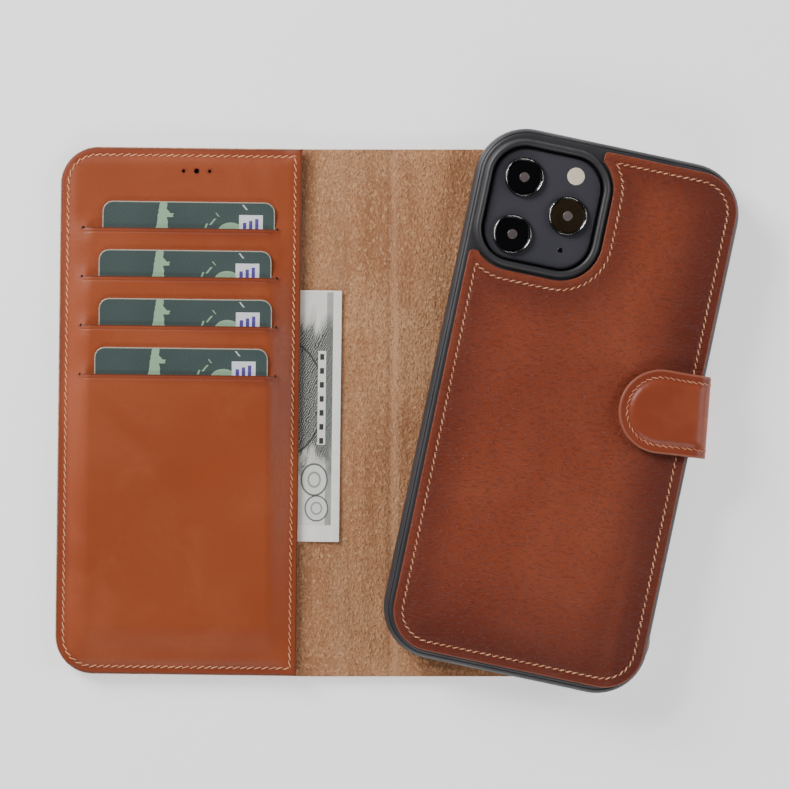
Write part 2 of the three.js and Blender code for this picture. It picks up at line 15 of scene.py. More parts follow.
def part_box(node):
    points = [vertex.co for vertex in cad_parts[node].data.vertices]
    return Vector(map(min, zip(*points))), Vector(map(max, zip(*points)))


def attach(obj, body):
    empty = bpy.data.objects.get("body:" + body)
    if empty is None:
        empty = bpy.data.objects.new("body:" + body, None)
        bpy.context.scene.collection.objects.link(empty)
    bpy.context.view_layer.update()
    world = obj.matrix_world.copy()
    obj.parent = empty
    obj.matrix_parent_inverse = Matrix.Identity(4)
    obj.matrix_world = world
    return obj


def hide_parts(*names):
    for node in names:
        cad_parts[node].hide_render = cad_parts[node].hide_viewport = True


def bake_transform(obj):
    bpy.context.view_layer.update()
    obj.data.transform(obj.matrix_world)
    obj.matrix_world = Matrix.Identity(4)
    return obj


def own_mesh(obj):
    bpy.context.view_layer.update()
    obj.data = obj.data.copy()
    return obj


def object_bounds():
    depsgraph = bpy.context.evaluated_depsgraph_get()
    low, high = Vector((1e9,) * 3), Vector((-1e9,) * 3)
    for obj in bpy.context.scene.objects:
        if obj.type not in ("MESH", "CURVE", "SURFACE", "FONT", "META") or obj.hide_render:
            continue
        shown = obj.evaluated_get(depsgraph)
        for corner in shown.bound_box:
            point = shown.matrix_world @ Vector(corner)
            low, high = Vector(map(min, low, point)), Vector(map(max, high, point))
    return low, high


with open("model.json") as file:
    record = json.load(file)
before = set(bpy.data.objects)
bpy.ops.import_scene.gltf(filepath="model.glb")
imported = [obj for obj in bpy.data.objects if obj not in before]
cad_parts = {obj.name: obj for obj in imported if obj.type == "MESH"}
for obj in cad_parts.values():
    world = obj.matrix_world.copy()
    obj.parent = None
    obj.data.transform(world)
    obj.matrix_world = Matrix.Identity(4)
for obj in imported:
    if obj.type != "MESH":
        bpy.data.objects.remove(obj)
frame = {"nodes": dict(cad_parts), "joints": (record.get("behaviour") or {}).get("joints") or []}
cad_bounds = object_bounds()
random = np.random.RandomState(11)
MM = 0.001
JOINTS = {joint["name"]: joint for joint in frame["joints"]}


# ---- places: local frames of the turned groups ------------------------------------------------
class Place:
    """A frame turned about Z, with its origin at (x, y, z) in millimetres."""

    def __init__(self, x, y, z, angle):
        self.origin = np.array([x, y, z], float)
        self.angle = angle
        c, s = math.cos(angle), math.sin(angle)
        self.turn = np.array([[c, -s, 0], [s, c, 0], [0, 0, 1]])

    def out(self, points):
        return np.asarray(points, float) @ self.turn.T + self.origin

    def into(self, points):
        return (np.asarray(points, float) - self.origin) @ self.turn

    def local_box(self, node):
        local = self.into(mesh_points(frame["nodes"][node].data) / MM)
        return local.min(0), local.max(0)


def joint_point(name):
    return np.array(JOINTS[name]["pos_m"], float) / MM


def axis_turn(name):
    """How far a joint axis that lies along Y at zero turn leans, as a turn about Z."""
    axis = JOINTS[name]["axis"]
    return -math.atan2(axis[0], axis[1])


WORLD = Place(0, 0, 0, 0)
REAR_FOLD = joint_point("spine_fold")
FRONT_FOLD = joint_point("cover_fold")
FRONT = Place(FRONT_FOLD[0], FRONT_FOLD[1], 0, axis_turn("card_1_slide"))
case_turn = axis_turn("case_slide")
phone_low, phone_high = (np.array(corner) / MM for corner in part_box("phone_body"))
case_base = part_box("case_shell")[0].z / MM
CASE = Place((phone_low[0] + phone_high[0]) / 2, (phone_low[1] + phone_high[1]) / 2, case_base, case_turn)
strap_fold = joint_point("strap_lower_fold")
STRAP = Place(strap_fold[0], strap_fold[1], 0, axis_turn("strap_lower_fold"))
STRAP_TOP = joint_point("strap_upper_fold")[2]

OUTER_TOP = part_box("rear_outer_leather")[1].z / MM
LINING_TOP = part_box("rear_suede_lining")[1].z / MM
REAR_HIGH = np.array(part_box("rear_suede_lining")[1]) / MM
FOLIO_TOP = REAR_HIGH[1]
BOARD_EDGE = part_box("rear_stiffener_board")[0].x / MM
SPINE_MIDDLE = (REAR_FOLD[0] + FRONT_FOLD[0]) / 2
FOLIO_CORNER = 12.0


# ---- flat outlines ---------------------------------------------------------------------------
def arc(cx, cy, radius, start, end, step=1.0):
    """Points on an arc, angles in degrees, turning the short way the signs say."""
    count = max(3, int(abs(math.radians(end - start)) * radius / step) + 1)
    angles = np.radians(np.linspace(start, end, count))
    return np.stack([cx + radius * np.cos(angles), cy + radius * np.sin(angles)], 1)


def rounded(x0, y0, x1, y1, bottom_left, bottom_right, top_right, top_left):
    """A rectangle's outline, anticlockwise, with a radius at each corner."""
    parts = []
    corners = [(x0, y0, bottom_left, 180, 1, 1), (x1, y0, bottom_right, 270, -1, 1),
               (x1, y1, top_right, 0, -1, -1), (x0, y1, top_left, 90, 1, -1)]
    for x, y, radius, start, sx, sy in corners:
        if radius < 0.01:
            parts.append(np.array([[x, y]]))
        else:
            parts.append(arc(x + sx * radius, y + sy * radius, radius, start, start + 90))
    return np.concatenate(parts)


def resample(loop, step):
    """The closed outline with its long straights cut into steps."""
    points = []
    for here, there in zip(loop, np.roll(loop, -1, 0)):
        length = np.linalg.norm(there - here)
        if length < 1e-6:
            continue
        count = max(1, int(round(length / step)))
        for index in range(count):
            points.append(here + (there - here) * index / count)
    return np.array(points)


def segment_distance(points, starts, ends):
    """Each point's distance to the nearest of the segments."""
    best = np.full(len(points), 1e9)
    for a, b in zip(starts, ends):
        along = b - a
        size = max(along @ along, 1e-12)
        t = np.clip(((points - a) @ along) / size, 0, 1)
        gap = points - a - t[:, None] * along
        best = np.minimum(best, np.hypot(gap[:, 0], gap[:, 1]))
    return best


def inside(points, loop):
    x, y = points[:, 0], points[:, 1]
    result = np.zeros(len(points), bool)
    for (x0, y0), (x1, y1) in zip(loop, np.roll(loop, -1, 0)):
        if y0 == y1:
            continue
        crosses = ((y0 > y) != (y1 > y)) & (x < (x1 - x0) * (y - y0) / (y1 - y0) + x0)
        result ^= crosses
    return result


def loop_distance(points, loop):
    """Each point's distance to a closed outline."""
    return segment_distance(points, loop, np.roll(loop, -1, 0))


def smooth(t):
    t = np.clip(t, 0, 1)
    return t * t * (3 - 2 * t)


def groove(distance, at, wide, deep):
    """Depth of a soft line pressed in at a distance."""
    return np.exp(-((distance - at) / wide) ** 2) * deep


def round_over(distance, radius):
    """How far a rounded edge drops at a distance from it."""
    return radius - np.sqrt(np.maximum(radius ** 2 - np.maximum(radius - distance, 0) ** 2, 0))


def circle(x, y, radius, sides):
    angles = [2 * math.pi * side / sides for side in range(sides)]
    return [(x + radius * math.cos(angle), y + radius * math.sin(angle)) for angle in angles]


def tube_faces(start, rings, sides):
    """Faces round a stack of rings of points, with a cap at each end."""
    faces = []
    for ring in range(rings - 1):
        for side in range(sides):
            after = (side + 1) % sides
            a = start + ring * sides
            faces.append((a + side, a + after, a + after + sides, a + side + sides))
    faces.append([start + side for side in range(sides)][::-1])
    faces.append([start + (rings - 1) * sides + side for side in range(sides)])
    return faces


def inward(loop, distance):
    """The outline's points moved inward along their normals."""
    before, after = np.roll(loop, 1, 0), np.roll(loop, -1, 0)
    tangent = after - before
    tangent /= np.maximum(np.hypot(tangent[:, 0], tangent[:, 1]), 1e-9)[:, None]
    normal = np.stack([-tangent[:, 1], tangent[:, 0]], 1)
    return loop + normal * distance


# ---- meshes ----------------------------------------------------------------------------------
def add_object(name, data):
    made = bpy.data.objects.new(name, data)
    bpy.context.scene.collection.objects.link(made)
    return made


def write_rest(mesh, points):
    """Keeps the points, in metres, as the rest position that the materials read."""
    rest = mesh.attributes.get("rest") or mesh.attributes.new("rest", "FLOAT_VECTOR", "POINT")
    rest.data.foreach_set("vector", np.asarray(points, np.float32).ravel())


def mesh_points(mesh):
    return np.array([v.co for v in mesh.vertices], float)


def belongs(piece, body, slot, *nodes):
    """Fastens a piece to its body and hides the CAD nodes that it stands for; slot is not used."""
    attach(piece, body)
    if nodes:
        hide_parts(*nodes)


def build(name, vertices, faces, material, place=WORLD, attributes=None, flat=None):
    """A mesh object from local millimetres, with its rest position kept for the materials."""
    mesh = bpy.data.meshes.new(name)
    vertices = np.asarray(vertices, float)
    mesh.from_pydata((place.out(vertices) * MM).tolist(), [], [list(f) for f in faces])
    mesh.validate()
    mesh.update()
    write_rest(mesh, (vertices if flat is None else flat) * MM)
    for key, values in (attributes or {}).items():
        data = mesh.attributes.new(key, "FLOAT", "POINT")
        data.data.foreach_set("value", np.asarray(values, np.float32))
    mesh.materials.append(material)
    mesh.shade_smooth()
    return add_object(name, mesh)


def triangles(loop, extra):
    """Constrained triangulation of an outline with extra points inside it."""
    points = np.concatenate([loop, extra]) if len(extra) else loop
    count = len(loop)
    edges = [(i, (i + 1) % count) for i in range(count)]
    found = delaunay_2d_cdt([Vector(p) for p in points], edges, [], 1, 1e-5)
    placed = np.array([[v.x, v.y] for v in found[0]])
    order = {source: index for index, sources in enumerate(found[3]) for source in sources}
    return placed, [tuple(f) for f in found[2]], [order[i] for i in range(count)]


RING_TURNS = (15, 32, 52, 75)       # degrees round a sheet's rounded edge
CLEAR_OF_EDGE = 0.93                # share of its depth that an inner ring's point keeps from the edge


def sheet(name, loop, material, place, top, bottom, rounding=0.4, spacing=2.0, free=None, bend=None,
          step=1.0, rings=()):
    """A closed leather-like layer over an outline, with rounded edges.

    top and bottom give heights from (xy, edge distance). free says which outline segments are real edges.
    bend maps the flat (x, y, z) points to where they lie.
    """
    loop = resample(loop, step)
    nexts = np.roll(loop, -1, 0)
    real = np.ones(len(loop), bool) if free is None else free((loop + nexts) / 2)
    x0, y0 = loop.min(0)
    x1, y1 = loop.max(0)
    rows = []
    for row, y in enumerate(np.arange(y0 + spacing / 2, y1, spacing * 0.866)):
        xs = np.arange(x0 + spacing / 2 + (row % 2) * spacing / 2, x1, spacing)
        rows.append(np.stack([xs, np.full(len(xs), y)], 1))
    grid = np.concatenate(rows)
    grid = grid[inside(grid, loop)]
    around = loop_distance(grid, loop)
    depths = [rounding * (1 - math.cos(math.radians(a))) for a in RING_TURNS] + [rounding * 1.15, *rings]
    grid = grid[around > max(depths) + spacing * 0.35]
    extra = [grid]
    for depth in depths:
        moved = inward(loop, depth)
        moved = moved[inside(moved, loop)]
        extra.append(moved[loop_distance(moved, loop) > depth * CLEAR_OF_EDGE])
    flat, faces, ring = triangles(loop, np.concatenate(extra))
    distance = segment_distance(flat, loop[real], nexts[real])
    sag = round_over(distance, rounding)
    count = len(flat)
    faces += [tuple(i + count for i in reversed(f)) for f in faces]
    faces += [(there, here, here + count, there + count) for here, there in zip(ring, ring[1:] + ring[:1])]
    flat3 = np.concatenate([np.column_stack([flat, top(flat, distance) - sag]),
                            np.column_stack([flat, bottom(flat, distance) + sag])])
    placed = flat3 if bend is None else bend(flat3)
    attributes = {"edge": np.tile(distance, 2) * MM}
    return fix_normals(build(name, placed, faces, material, place, attributes, flat3))


def fix_normals(piece):
    work = bmesh.new()
    work.from_mesh(piece.data)
    bmesh.ops.recalc_face_normals(work, faces=work.faces)
    work.to_mesh(piece.data)
    work.free()
    return piece


def lathe(name, profile, material, place, x, y, sides=64):
    """A turned piece: profile points are (radius, height); the first and last lie on the axis or meet."""
    vertices, faces, rings = [], [], []
    for radius, height in profile:
        points = circle(x, y, radius, sides) if radius else [(x, y)]
        rings.append(list(range(len(vertices), len(vertices) + len(points))))
        vertices += [(*point, height) for point in points]
    pairs = list(zip(rings, rings[1:]))
    if len(rings[0]) > 1:
        pairs.append((rings[-1], rings[0]))
    for first, second in pairs:
        for side in range(sides):
            after = (side + 1) % sides
            quad = [first[side % len(first)], first[after % len(first)],
                    second[after % len(second)], second[side % len(second)]]
            face = list(dict.fromkeys(quad))
            if len(face) > 2:
                faces.append(face)
    return fix_normals(build(name, vertices, faces, material, place))


def applied(piece):
    """The piece with its modifiers made real."""
    graph = bpy.context.evaluated_depsgraph_get()
    mesh = bpy.data.meshes.new_from_object(piece.evaluated_get(graph))
    piece.modifiers.clear()
    piece.data = mesh
    return piece


def bevelled_copy(node, name, material, width=0.3, segments=3):
    """A CAD node's shape with its edges rounded over."""
    mesh = frame["nodes"][node].data.copy()
    mesh.name = name
    mesh.materials.clear()
    mesh.materials.append(material)
    piece = add_object(name, mesh)
    work = bmesh.new()
    work.from_mesh(mesh)
    bmesh.ops.remove_doubles(work, verts=work.verts, dist=1e-6)
    bmesh.ops.dissolve_limit(work, angle_limit=math.radians(1), verts=work.verts, edges=work.edges)
    work.to_mesh(mesh)
    work.free()
    bevel = piece.modifiers.new("edge", "BEVEL")
    bevel.width = width * MM
    bevel.segments = segments
    bevel.limit_method = "ANGLE"
    bevel.angle_limit = math.radians(35)
    applied(piece)
    piece.data.shade_smooth()
    write_rest(piece.data, mesh_points(piece.data))
    return piece


# ---- materials -------------------------------------------------------------------------------
class Look:
    """A small helper round one material's node tree.

    Modelled pieces carry their rest position as an attribute; carried-over CAD nodes use object space.
    """

    def __init__(self, name, roughness=0.5, metallic=0.0, specular=0.5, on_cad=False):
        self.on_cad = on_cad
        self.material = bpy.data.materials.new(name)
        self.material.use_nodes = True
        self.tree = self.material.node_tree
        self.shader = self.tree.nodes["Principled BSDF"]
        self.shader.inputs["Roughness"].default_value = roughness
        self.shader.inputs["Metallic"].default_value = metallic
        self.shader.inputs["Specular IOR Level"].default_value = specular

    def node(self, kind, **settings):
        made = self.tree.nodes.new(kind)
        for key, value in settings.items():
            setattr(made, key, value)
        return made

    def link(self, source, target):
        self.tree.links.new(source, target)

    def feed(self, socket, value):
        if hasattr(value, "is_output"):
            self.link(value, socket)
        elif isinstance(value, (tuple, list)) and len(value) == 3 and socket.type == "RGBA":
            socket.default_value = (*value, 1)
        else:
            socket.default_value = value

    def attribute(self, name, output="Fac"):
        return self.node("ShaderNodeAttribute", attribute_name=name).outputs[output]

    def rest(self, scale=(1, 1, 1), turn=0.0, shift=(0, 0, 0)):
        mapping = self.node("ShaderNodeMapping")
        if self.on_cad:
            place = self.node("ShaderNodeTexCoord").outputs["Object"]
        else:
            place = self.attribute("rest", "Vector")
        self.link(place, mapping.inputs["Vector"])
        mapping.inputs["Scale"].default_value = scale
        mapping.inputs["Rotation"].default_value = (0, 0, turn)
        mapping.inputs["Location"].default_value = shift
        return mapping.outputs["Vector"]

    def split(self, vector):
        return self.node_fed("ShaderNodeSeparateXYZ", {"Vector": vector}).outputs

    def node_fed(self, kind, inputs, **settings):
        made = self.node(kind, **settings)
        for key, value in inputs.items():
            self.feed(made.inputs[key], value)
        return made

    def noise(self, vector, scale, detail=3.0, rough=0.55, distortion=0.0):
        made = self.node_fed("ShaderNodeTexNoise", {
            "Vector": vector, "Scale": scale, "Detail": detail, "Roughness": rough, "Distortion": distortion})
        return made.outputs["Fac"]

    def cells(self, vector, scale, feature="F1", output="Distance"):
        made = self.node_fed("ShaderNodeTexVoronoi", {"Vector": vector, "Scale": scale}, feature=feature)
        return made.outputs[output]

    def span(self, value, low, high, to_low=0.0, to_high=1.0):
        made = self.node("ShaderNodeMapRange", interpolation_type="SMOOTHSTEP")
        for key, item in zip(("Value", "From Min", "From Max", "To Min", "To Max"),
                             (value, low, high, to_low, to_high)):
            self.feed(made.inputs[key], item)
        return made.outputs["Result"]

    def math(self, operation, first, second=0.0):
        made = self.node("ShaderNodeMath", operation=operation)
        self.feed(made.inputs[0], first)
        self.feed(made.inputs[1], second)
        return made.outputs[0]

    def times(self, first, second):
        return self.math("MULTIPLY", first, second)

    def plus(self, first, second):
        return self.math("ADD", first, second)

    def minus(self, first, second):
        return self.math("SUBTRACT", first, second)

    def below(self, value, limit):
        return self.math("LESS_THAN", value, limit)

    def apart(self, value, centre):
        return self.math("ABSOLUTE", self.minus(value, centre))

    def band(self, value, low, high):
        return self.times(self.math("GREATER_THAN", value, low), self.below(value, high))

    def oval(self, x, y, wide, tall):
        """Squared distance from an oval's middle, 1 on its outline."""
        across, up = self.math("DIVIDE", x, wide), self.math("DIVIDE", y, tall)
        return self.plus(self.times(across, across), self.times(up, up))

    def wave(self, vector, scale, distortion, detail=2.0, **settings):
        return self.node_fed("ShaderNodeTexWave", {
            "Vector": vector, "Scale": scale, "Distortion": distortion, "Detail": detail,
        }, **settings).outputs["Fac"]

    def mix(self, factor, first, second):
        made = self.node("ShaderNodeMix", data_type="RGBA")
        self.feed(made.inputs[0], factor)
        self.feed(made.inputs[6], first)
        self.feed(made.inputs[7], second)
        return made.outputs[2]

    def colour(self, value):
        self.feed(self.shader.inputs["Base Color"], value)

    def roughness(self, value):
        self.feed(self.shader.inputs["Roughness"], value)

    def bump(self, height, strength, distance):
        made = self.node_fed("ShaderNodeBump", {"Height": height, "Strength": strength, "Distance": distance})
        self.link(made.outputs["Normal"], self.shader.inputs["Normal"])


def leather(name, base, dark, light, rubbed_and_shade_colour, burnish=0.012, roughness=0.42, grain=1.0, coat=0.1,
            raw=None, raw_width=0.0004, painted_shade_box=None, rubbed_most=0.85, rim_share=1.0, wrinkle=0.0):
    """Waxed leather: fine cell grain, soft mottling, darker rubbed edges and a raw cut rim, with painted shade in
    wrinkle lines and towards the sides given in the shade box.
    """
    look = Look(name, roughness, 0.0, 0.3)
    where = look.rest()
    mottle = look.noise(where, 38.0, 4.0, 0.6, 0.6)
    cloud = look.noise(where, 14.0, 2.0, 0.5, 0.2)
    fine = look.noise(where, 900.0, 3.0, 0.6)
    colour = look.mix(look.span(cloud, 0.3, 0.7), dark, base)
    colour = look.mix(look.span(mottle, 0.42, 0.75, 0.0, 0.55), colour, light)
    colour = look.mix(look.span(fine, 0.35, 0.7, 0.0, 0.14), colour, rubbed_and_shade_colour)
    edge = look.attribute("edge")
    rubbed = look.span(look.plus(edge, look.times(look.minus(cloud, 0.5), 0.012)),
                       0.0, burnish, rubbed_most, 0.0)
    rubbed = look.times(rubbed, look.span(edge, 0.0006, 0.0036, rim_share, 1.0))
    colour = look.mix(rubbed, colour, rubbed_and_shade_colour)
    # Painted shade: darker towards the sides given in the shade box, away from the key light.
    if painted_shade_box is not None:
        parts = look.split(where)
        for axis, low, high, amount in painted_shade_box:
            shade = look.span(parts[axis], low, high, 0.0, amount)
            colour = look.mix(shade, colour, rubbed_and_shade_colour)
    if raw is not None:
        cut = look.span(edge, raw_width * 0.6, raw_width, 1.0, 0.0)
        colour = look.mix(cut, colour, raw)
    streaks = look.noise(look.rest((1.0, 0.12, 1.0), 0.5), 60.0, 5.0, 0.6, 0.4)
    colour = look.mix(look.span(streaks, 0.55, 0.8, 0.0, 0.25), colour, light)
    # Wrinkles: fine stretched lines, pressed in with the bump below and darkened in colour as painted shade in
    # their creases.
    wrinkles = look.noise(look.rest((0.4, 1.0, 1.0), 0.12), 1300.0, 3.0, 0.6, 0.8)
    wrinkles = look.span(wrinkles, 0.46, 0.62)
    colour = look.mix(look.times(wrinkles, wrinkle), colour, rubbed_and_shade_colour)
    look.colour(colour)
    look.roughness(look.span(look.plus(fine, mottle), 0.6, 1.4, roughness - 0.09, roughness + 0.1))
    pebble = look.cells(where, 1500.0, "SMOOTH_F1")
    pores = look.cells(where, 520.0, "F1")
    height = look.plus(look.times(pebble, 0.5), look.times(fine, 0.4))
    height = look.minus(height, look.span(pores, 0.0, 0.14, 0.35, 0.0))
    folds = look.noise(look.rest((0.3, 1.0, 1.0), 0.15), 240.0, 3.0, 0.55, 1.2)
    crease = look.span(look.apart(folds, 0.5), 0.0, 0.035, 0.5, 0.0)
    height = look.minus(height, look.times(crease, look.span(cloud, 0.45, 0.6)))
    height = look.minus(height, look.times(wrinkles, wrinkle * 4))
    look.bump(height, 0.28 * grain, 0.00009)
    look.shader.inputs["Coat Weight"].default_value = coat
    look.shader.inputs["Coat Roughness"].default_value = 0.28
    return look.material


def suede(name, base, dark, light):
    """Brushed flesh side: short matted fibres in fine grain, in long drifts of light and dark along Y."""
    look = Look(name, 0.95, 0.0, 0.12)
    where = look.rest()
    cloud = look.noise(where, 26.0, 3.0, 0.55)
    drift = look.noise(look.rest((1.0, 0.16, 1.0), 0.03), 120.0, 4.0, 0.6, 0.4)
    fibre = look.noise(look.rest((1.0, 0.6, 1.0), -0.3), 1700.0, 3.0, 0.65, 0.5)
    nap = look.noise(look.rest((1.0, 0.65, 1.0), 0.45), 1150.0, 3.0, 0.6, 0.7)
    colour = look.mix(look.span(drift, 0.35, 0.66, 0.25, 0.9), dark, base)
    colour = look.mix(look.span(cloud, 0.4, 0.7, 0.0, 0.45), colour, light)
    colour = look.mix(look.span(nap, 0.47, 0.66, 0.0, 0.7), colour, light)
    colour = look.mix(look.span(fibre, 0.48, 0.64, 0.0, 0.85), colour, dark)
    across = look.split(where)[0]
    up = look.split(where)[1]
    # Painted light and shade: bands of colour across x from the band table, broken up by the drifts.
    for centre, wide, amount, tone in SUEDE_SHADE_AND_LIGHT_BANDS:
        away = look.apart(across, centre)
        mask = look.span(away, 0.0, wide, amount, 0.0)
        mask = look.times(mask, look.span(drift, 0.3, 0.6, 0.55, 1.0))
        # The painted shade beside the card panel drops to a third of its strength towards the bottom.
        if tone is PANEL_EDGE_SHADE:
            mask = look.times(mask, look.span(up, -0.05, 0.0, 0.3, 1.0))
        colour = look.mix(mask, colour, tone)
    look.colour(colour)
    height = look.plus(look.times(nap, 1.0), look.times(fibre, 0.7))
    height = look.plus(height, look.times(drift, 0.8))
    look.bump(height, 1.0, 0.0007)
    look.shader.inputs["Sheen Weight"].default_value = 0.25
    look.shader.inputs["Sheen Roughness"].default_value = 0.5
    return look.material


def plain(name, base, second, roughness, metallic=0.0, scale=400.0, depth=0.00003, specular=0.5, coat=0.0,
          on_cad=False):
    """Moulded or turned material with faint variation and fine texture."""
    look = Look(name, roughness, metallic, specular, on_cad)
    where = look.rest()
    grain = look.noise(where, scale * 4, 3.0)
    cloud = look.noise(where, scale * 0.12, 3.0)
    colour = look.mix(look.span(cloud, 0.35, 0.65), base, second)
    look.colour(look.mix(look.span(grain, 0.4, 0.7, 0.0, 0.2), colour, second))
    look.roughness(look.span(look.plus(grain, cloud), 0.7, 1.3, max(roughness - 0.06, 0.03), roughness + 0.06))
    look.bump(grain, 0.25, depth)
    look.shader.inputs["Coat Weight"].default_value = coat
    return look.material


def thread_material(name, light, dark):
    look = Look(name, 0.7, 0.0, 0.3)
    where = look.rest()
    twist = look.wave(where, 700.0, 0.0, bands_direction="DIAGONAL")
    tone = look.noise(where, 260.0, 2.0)
    colour = look.mix(look.span(tone, 0.35, 0.65), light, dark)
    look.colour(look.mix(look.span(twist, 0.3, 0.9, 0.35, 0.0), colour, dark))
    look.bump(twist, 0.5, 0.00006)
    look.shader.inputs["Sheen Weight"].default_value = 0.3
    return look.material


def srgb(red, green, blue):
    """Screen colour, 0 to 255, as the linear colour that a shader takes."""
    return tuple((c / 255 / 12.92) if c <= 10 else ((c / 255 + 0.055) / 1.055) ** 2.4
                 for c in (red, green, blue))


PANEL_LEATHER = leather("panel_leather", srgb(156, 75, 41), srgb(148, 69, 37), srgb(165, 83, 48),
                        srgb(132, 58, 32), burnish=0.004, roughness=0.5, coat=0.0, raw=srgb(104, 48, 30))
HIDE_LEATHER = leather("hide_leather", srgb(150, 72, 40), srgb(138, 63, 34), srgb(162, 82, 48),
                       srgb(110, 46, 22), burnish=0.006, roughness=0.42, raw=srgb(104, 52, 34))
# The case leather has painted shade towards its right side and its bottom, and painted shade in its wrinkle lines.
CASE_LEATHER = leather("case_leather", srgb(141, 67, 43), srgb(132, 61, 40), srgb(151, 75, 49),
                       srgb(84, 34, 26), burnish=0.017, roughness=0.4, grain=2.6, coat=0.12,
                       raw=srgb(128, 64, 44), wrinkle=0.3, raw_width=0.0006, rubbed_most=0.66, rim_share=0.35,
                       painted_shade_box=[(0, 0.016, 0.034, 0.62), (1, -0.044, -0.078, 0.55)])
STRAP_LEATHER = leather("strap_leather", srgb(144, 67, 42), srgb(134, 60, 38), srgb(156, 76, 46),
                        srgb(124, 54, 36), burnish=0.003, roughness=0.42, coat=0.06, raw=srgb(148, 88, 68),
                        raw_width=0.0008)
# Painted shade on the suede beside the card panel's right edge, stronger towards the top.
PANEL_EDGE_SHADE = srgb(96, 60, 40)
# Bands across the suede by rest x (centre, half width, strength, colour): painted shade beside the card panel's
# right edge, a painted highlight along the rear board's edge, painted shade at the foot of that step, and a lighter
# band over the spine.
SUEDE_SHADE_AND_LIGHT_BANDS = (
    (-0.0700, 0.0075, 0.45, PANEL_EDGE_SHADE),
    (-0.0385, 0.0016, 0.5, srgb(196, 150, 116)),
    (-0.0405, 0.0012, 0.35, srgb(130, 90, 64)),
    (-0.0560, 0.0040, 0.25, srgb(186, 142, 108)),
)
SUEDE = suede("brushed_suede", srgb(201, 144, 102), srgb(152, 101, 68), srgb(223, 174, 130))
THREAD = thread_material("waxed_thread", srgb(242, 182, 138), srgb(218, 148, 104))
DARK_THREAD = thread_material("waxed_thread_dark", srgb(222, 154, 118), srgb(188, 116, 84))
SHELL = plain("soft_shell", srgb(54, 52, 55), srgb(44, 43, 46), 0.5, 0.0, 500.0)
# Painted shade for the insides of holes.
HOLE_SHADE = plain("painted_hole_shade", srgb(34, 18, 12), srgb(24, 14, 10), 0.9, 0.0, 700.0)
PHONE_METAL = plain("phone_metal", srgb(92, 92, 98), srgb(78, 78, 84), 0.35, 0.9, on_cad=True)
PHONE_GLASS = plain("phone_glass", srgb(14, 14, 16), srgb(10, 10, 12), 0.06, 0.0, 90.0, 0.000002, 0.6, 0.4,
                    on_cad=True)
PLATED_STEEL = plain("plated_steel", srgb(170, 172, 176), srgb(150, 152, 158), 0.3, 1.0, 900.0, on_cad=True)
BOARD = plain("grey_board", srgb(140, 126, 104), srgb(118, 104, 84), 0.9, 0.0, 260.0, 0.0001, on_cad=True)
DIVIDER_CLOTH = plain("divider_cloth", srgb(128, 98, 74), srgb(108, 82, 60), 0.9, 0.0, 700.0, 0.0001,
                      on_cad=True)
CAMERA_PLATE = plain("camera_plate", srgb(70, 69, 75), srgb(62, 62, 68), 0.16, 0.0, 120.0, 0.00001, 0.6, 0.6)
DARK_GLASS = plain("dark_glass", srgb(14, 14, 16), srgb(10, 10, 12), 0.06, 0.0, 90.0, 0.000002, 0.6, 0.4)
LENS_BARREL = plain("lens_barrel", srgb(20, 20, 22), srgb(12, 12, 14), 0.3, 0.0, 700.0, 0.00002)
LENS_TRIM = plain("lens_trim", srgb(206, 206, 204), srgb(176, 176, 176), 0.16, 1.0, 500.0, 0.00001)
LENS_IRIS = plain("lens_iris", srgb(112, 102, 100), srgb(76, 68, 68), 0.2, 0.0, 500.0, 0.00001)
# Painted reflection: the amber flare of the third lens, put into its glass colour.
LENS_FLARE_GLASS = plain("lens_flare_glass", srgb(52, 40, 26), srgb(24, 20, 16), 0.12, 0.0, 120.0, 0.00001)
FLASH_LENS = plain("flash_lens", srgb(232, 224, 196), srgb(214, 200, 180), 0.3, 0.0, 900.0, 0.0001)


# ---- stitching -------------------------------------------------------------------------------
def stitches(name, path, material, place, pitch, surface, closed=False, length=1.0, radius=0.19, slant=0.12,
             bend=None, lift=0.1, tick=0.55):
    """A row of stitches along a flat path: slanting thread loops with dipped ends, and a short tick between."""
    points = np.asarray(path, float)
    if closed:
        points = np.concatenate([points, points[:1]])
    steps = np.hypot(*(points[1:] - points[:-1]).T)
    along = np.concatenate([[0], np.cumsum(steps)])
    count = int(round(along[-1] / pitch))
    pitch = along[-1] / count
    vertices, faces = [], []
    rings, sides = 7, 6

    def point_at(s):
        return np.array([np.interp(s, along, points[:, 0]), np.interp(s, along, points[:, 1])])

    def thread(middle, reach, sway, fat, rise):
        """One loop of thread centred at a distance along the path."""
        start = len(vertices)
        for ring in range(rings):
            t = ring / (rings - 1) * 2 - 1
            s = middle + t * reach
            ahead = point_at(s + 0.05) - point_at(s - 0.05)
            ahead /= max(np.hypot(*ahead), 1e-9)
            side = np.array([-ahead[1], ahead[0]])
            centre = point_at(s) + side * math.sin(t * math.pi / 2) * sway
            thin = fat * (1 - 0.28 * t * t)
            height = lift + rise - 0.62 * fat * t ** 4
            for out, up in circle(0, 0, thin, sides):
                vertices.append((*(centre + side * out), height + up * 0.8))
        faces.extend(tube_faces(start, rings, sides))

    for number in range(count):
        jitter = random.uniform(-0.05, 0.05, 4)
        middle = (number + 0.5 + jitter[0]) * pitch
        thread(middle, pitch * length / 2, (slant + jitter[1] * 0.5) * pitch, radius, jitter[2] * 0.3 * radius)
        if tick:
            thread((number + 1 + jitter[3]) * pitch, 0.16, -tick, radius * 0.62, 0.4 * radius)
    vertices = np.array(vertices)
    vertices[:, 2] += surface(vertices[:, :2])
    placed = vertices if bend is None else bend(vertices)
    return fix_normals(build(name, placed, faces, material, place, None, vertices))


# ---- folio: hide and lining --------------------------------------------------------------------
FRONT_LEFT = FRONT.local_box("front_outer_leather")[0][0]
TURN_REACH = 9.0


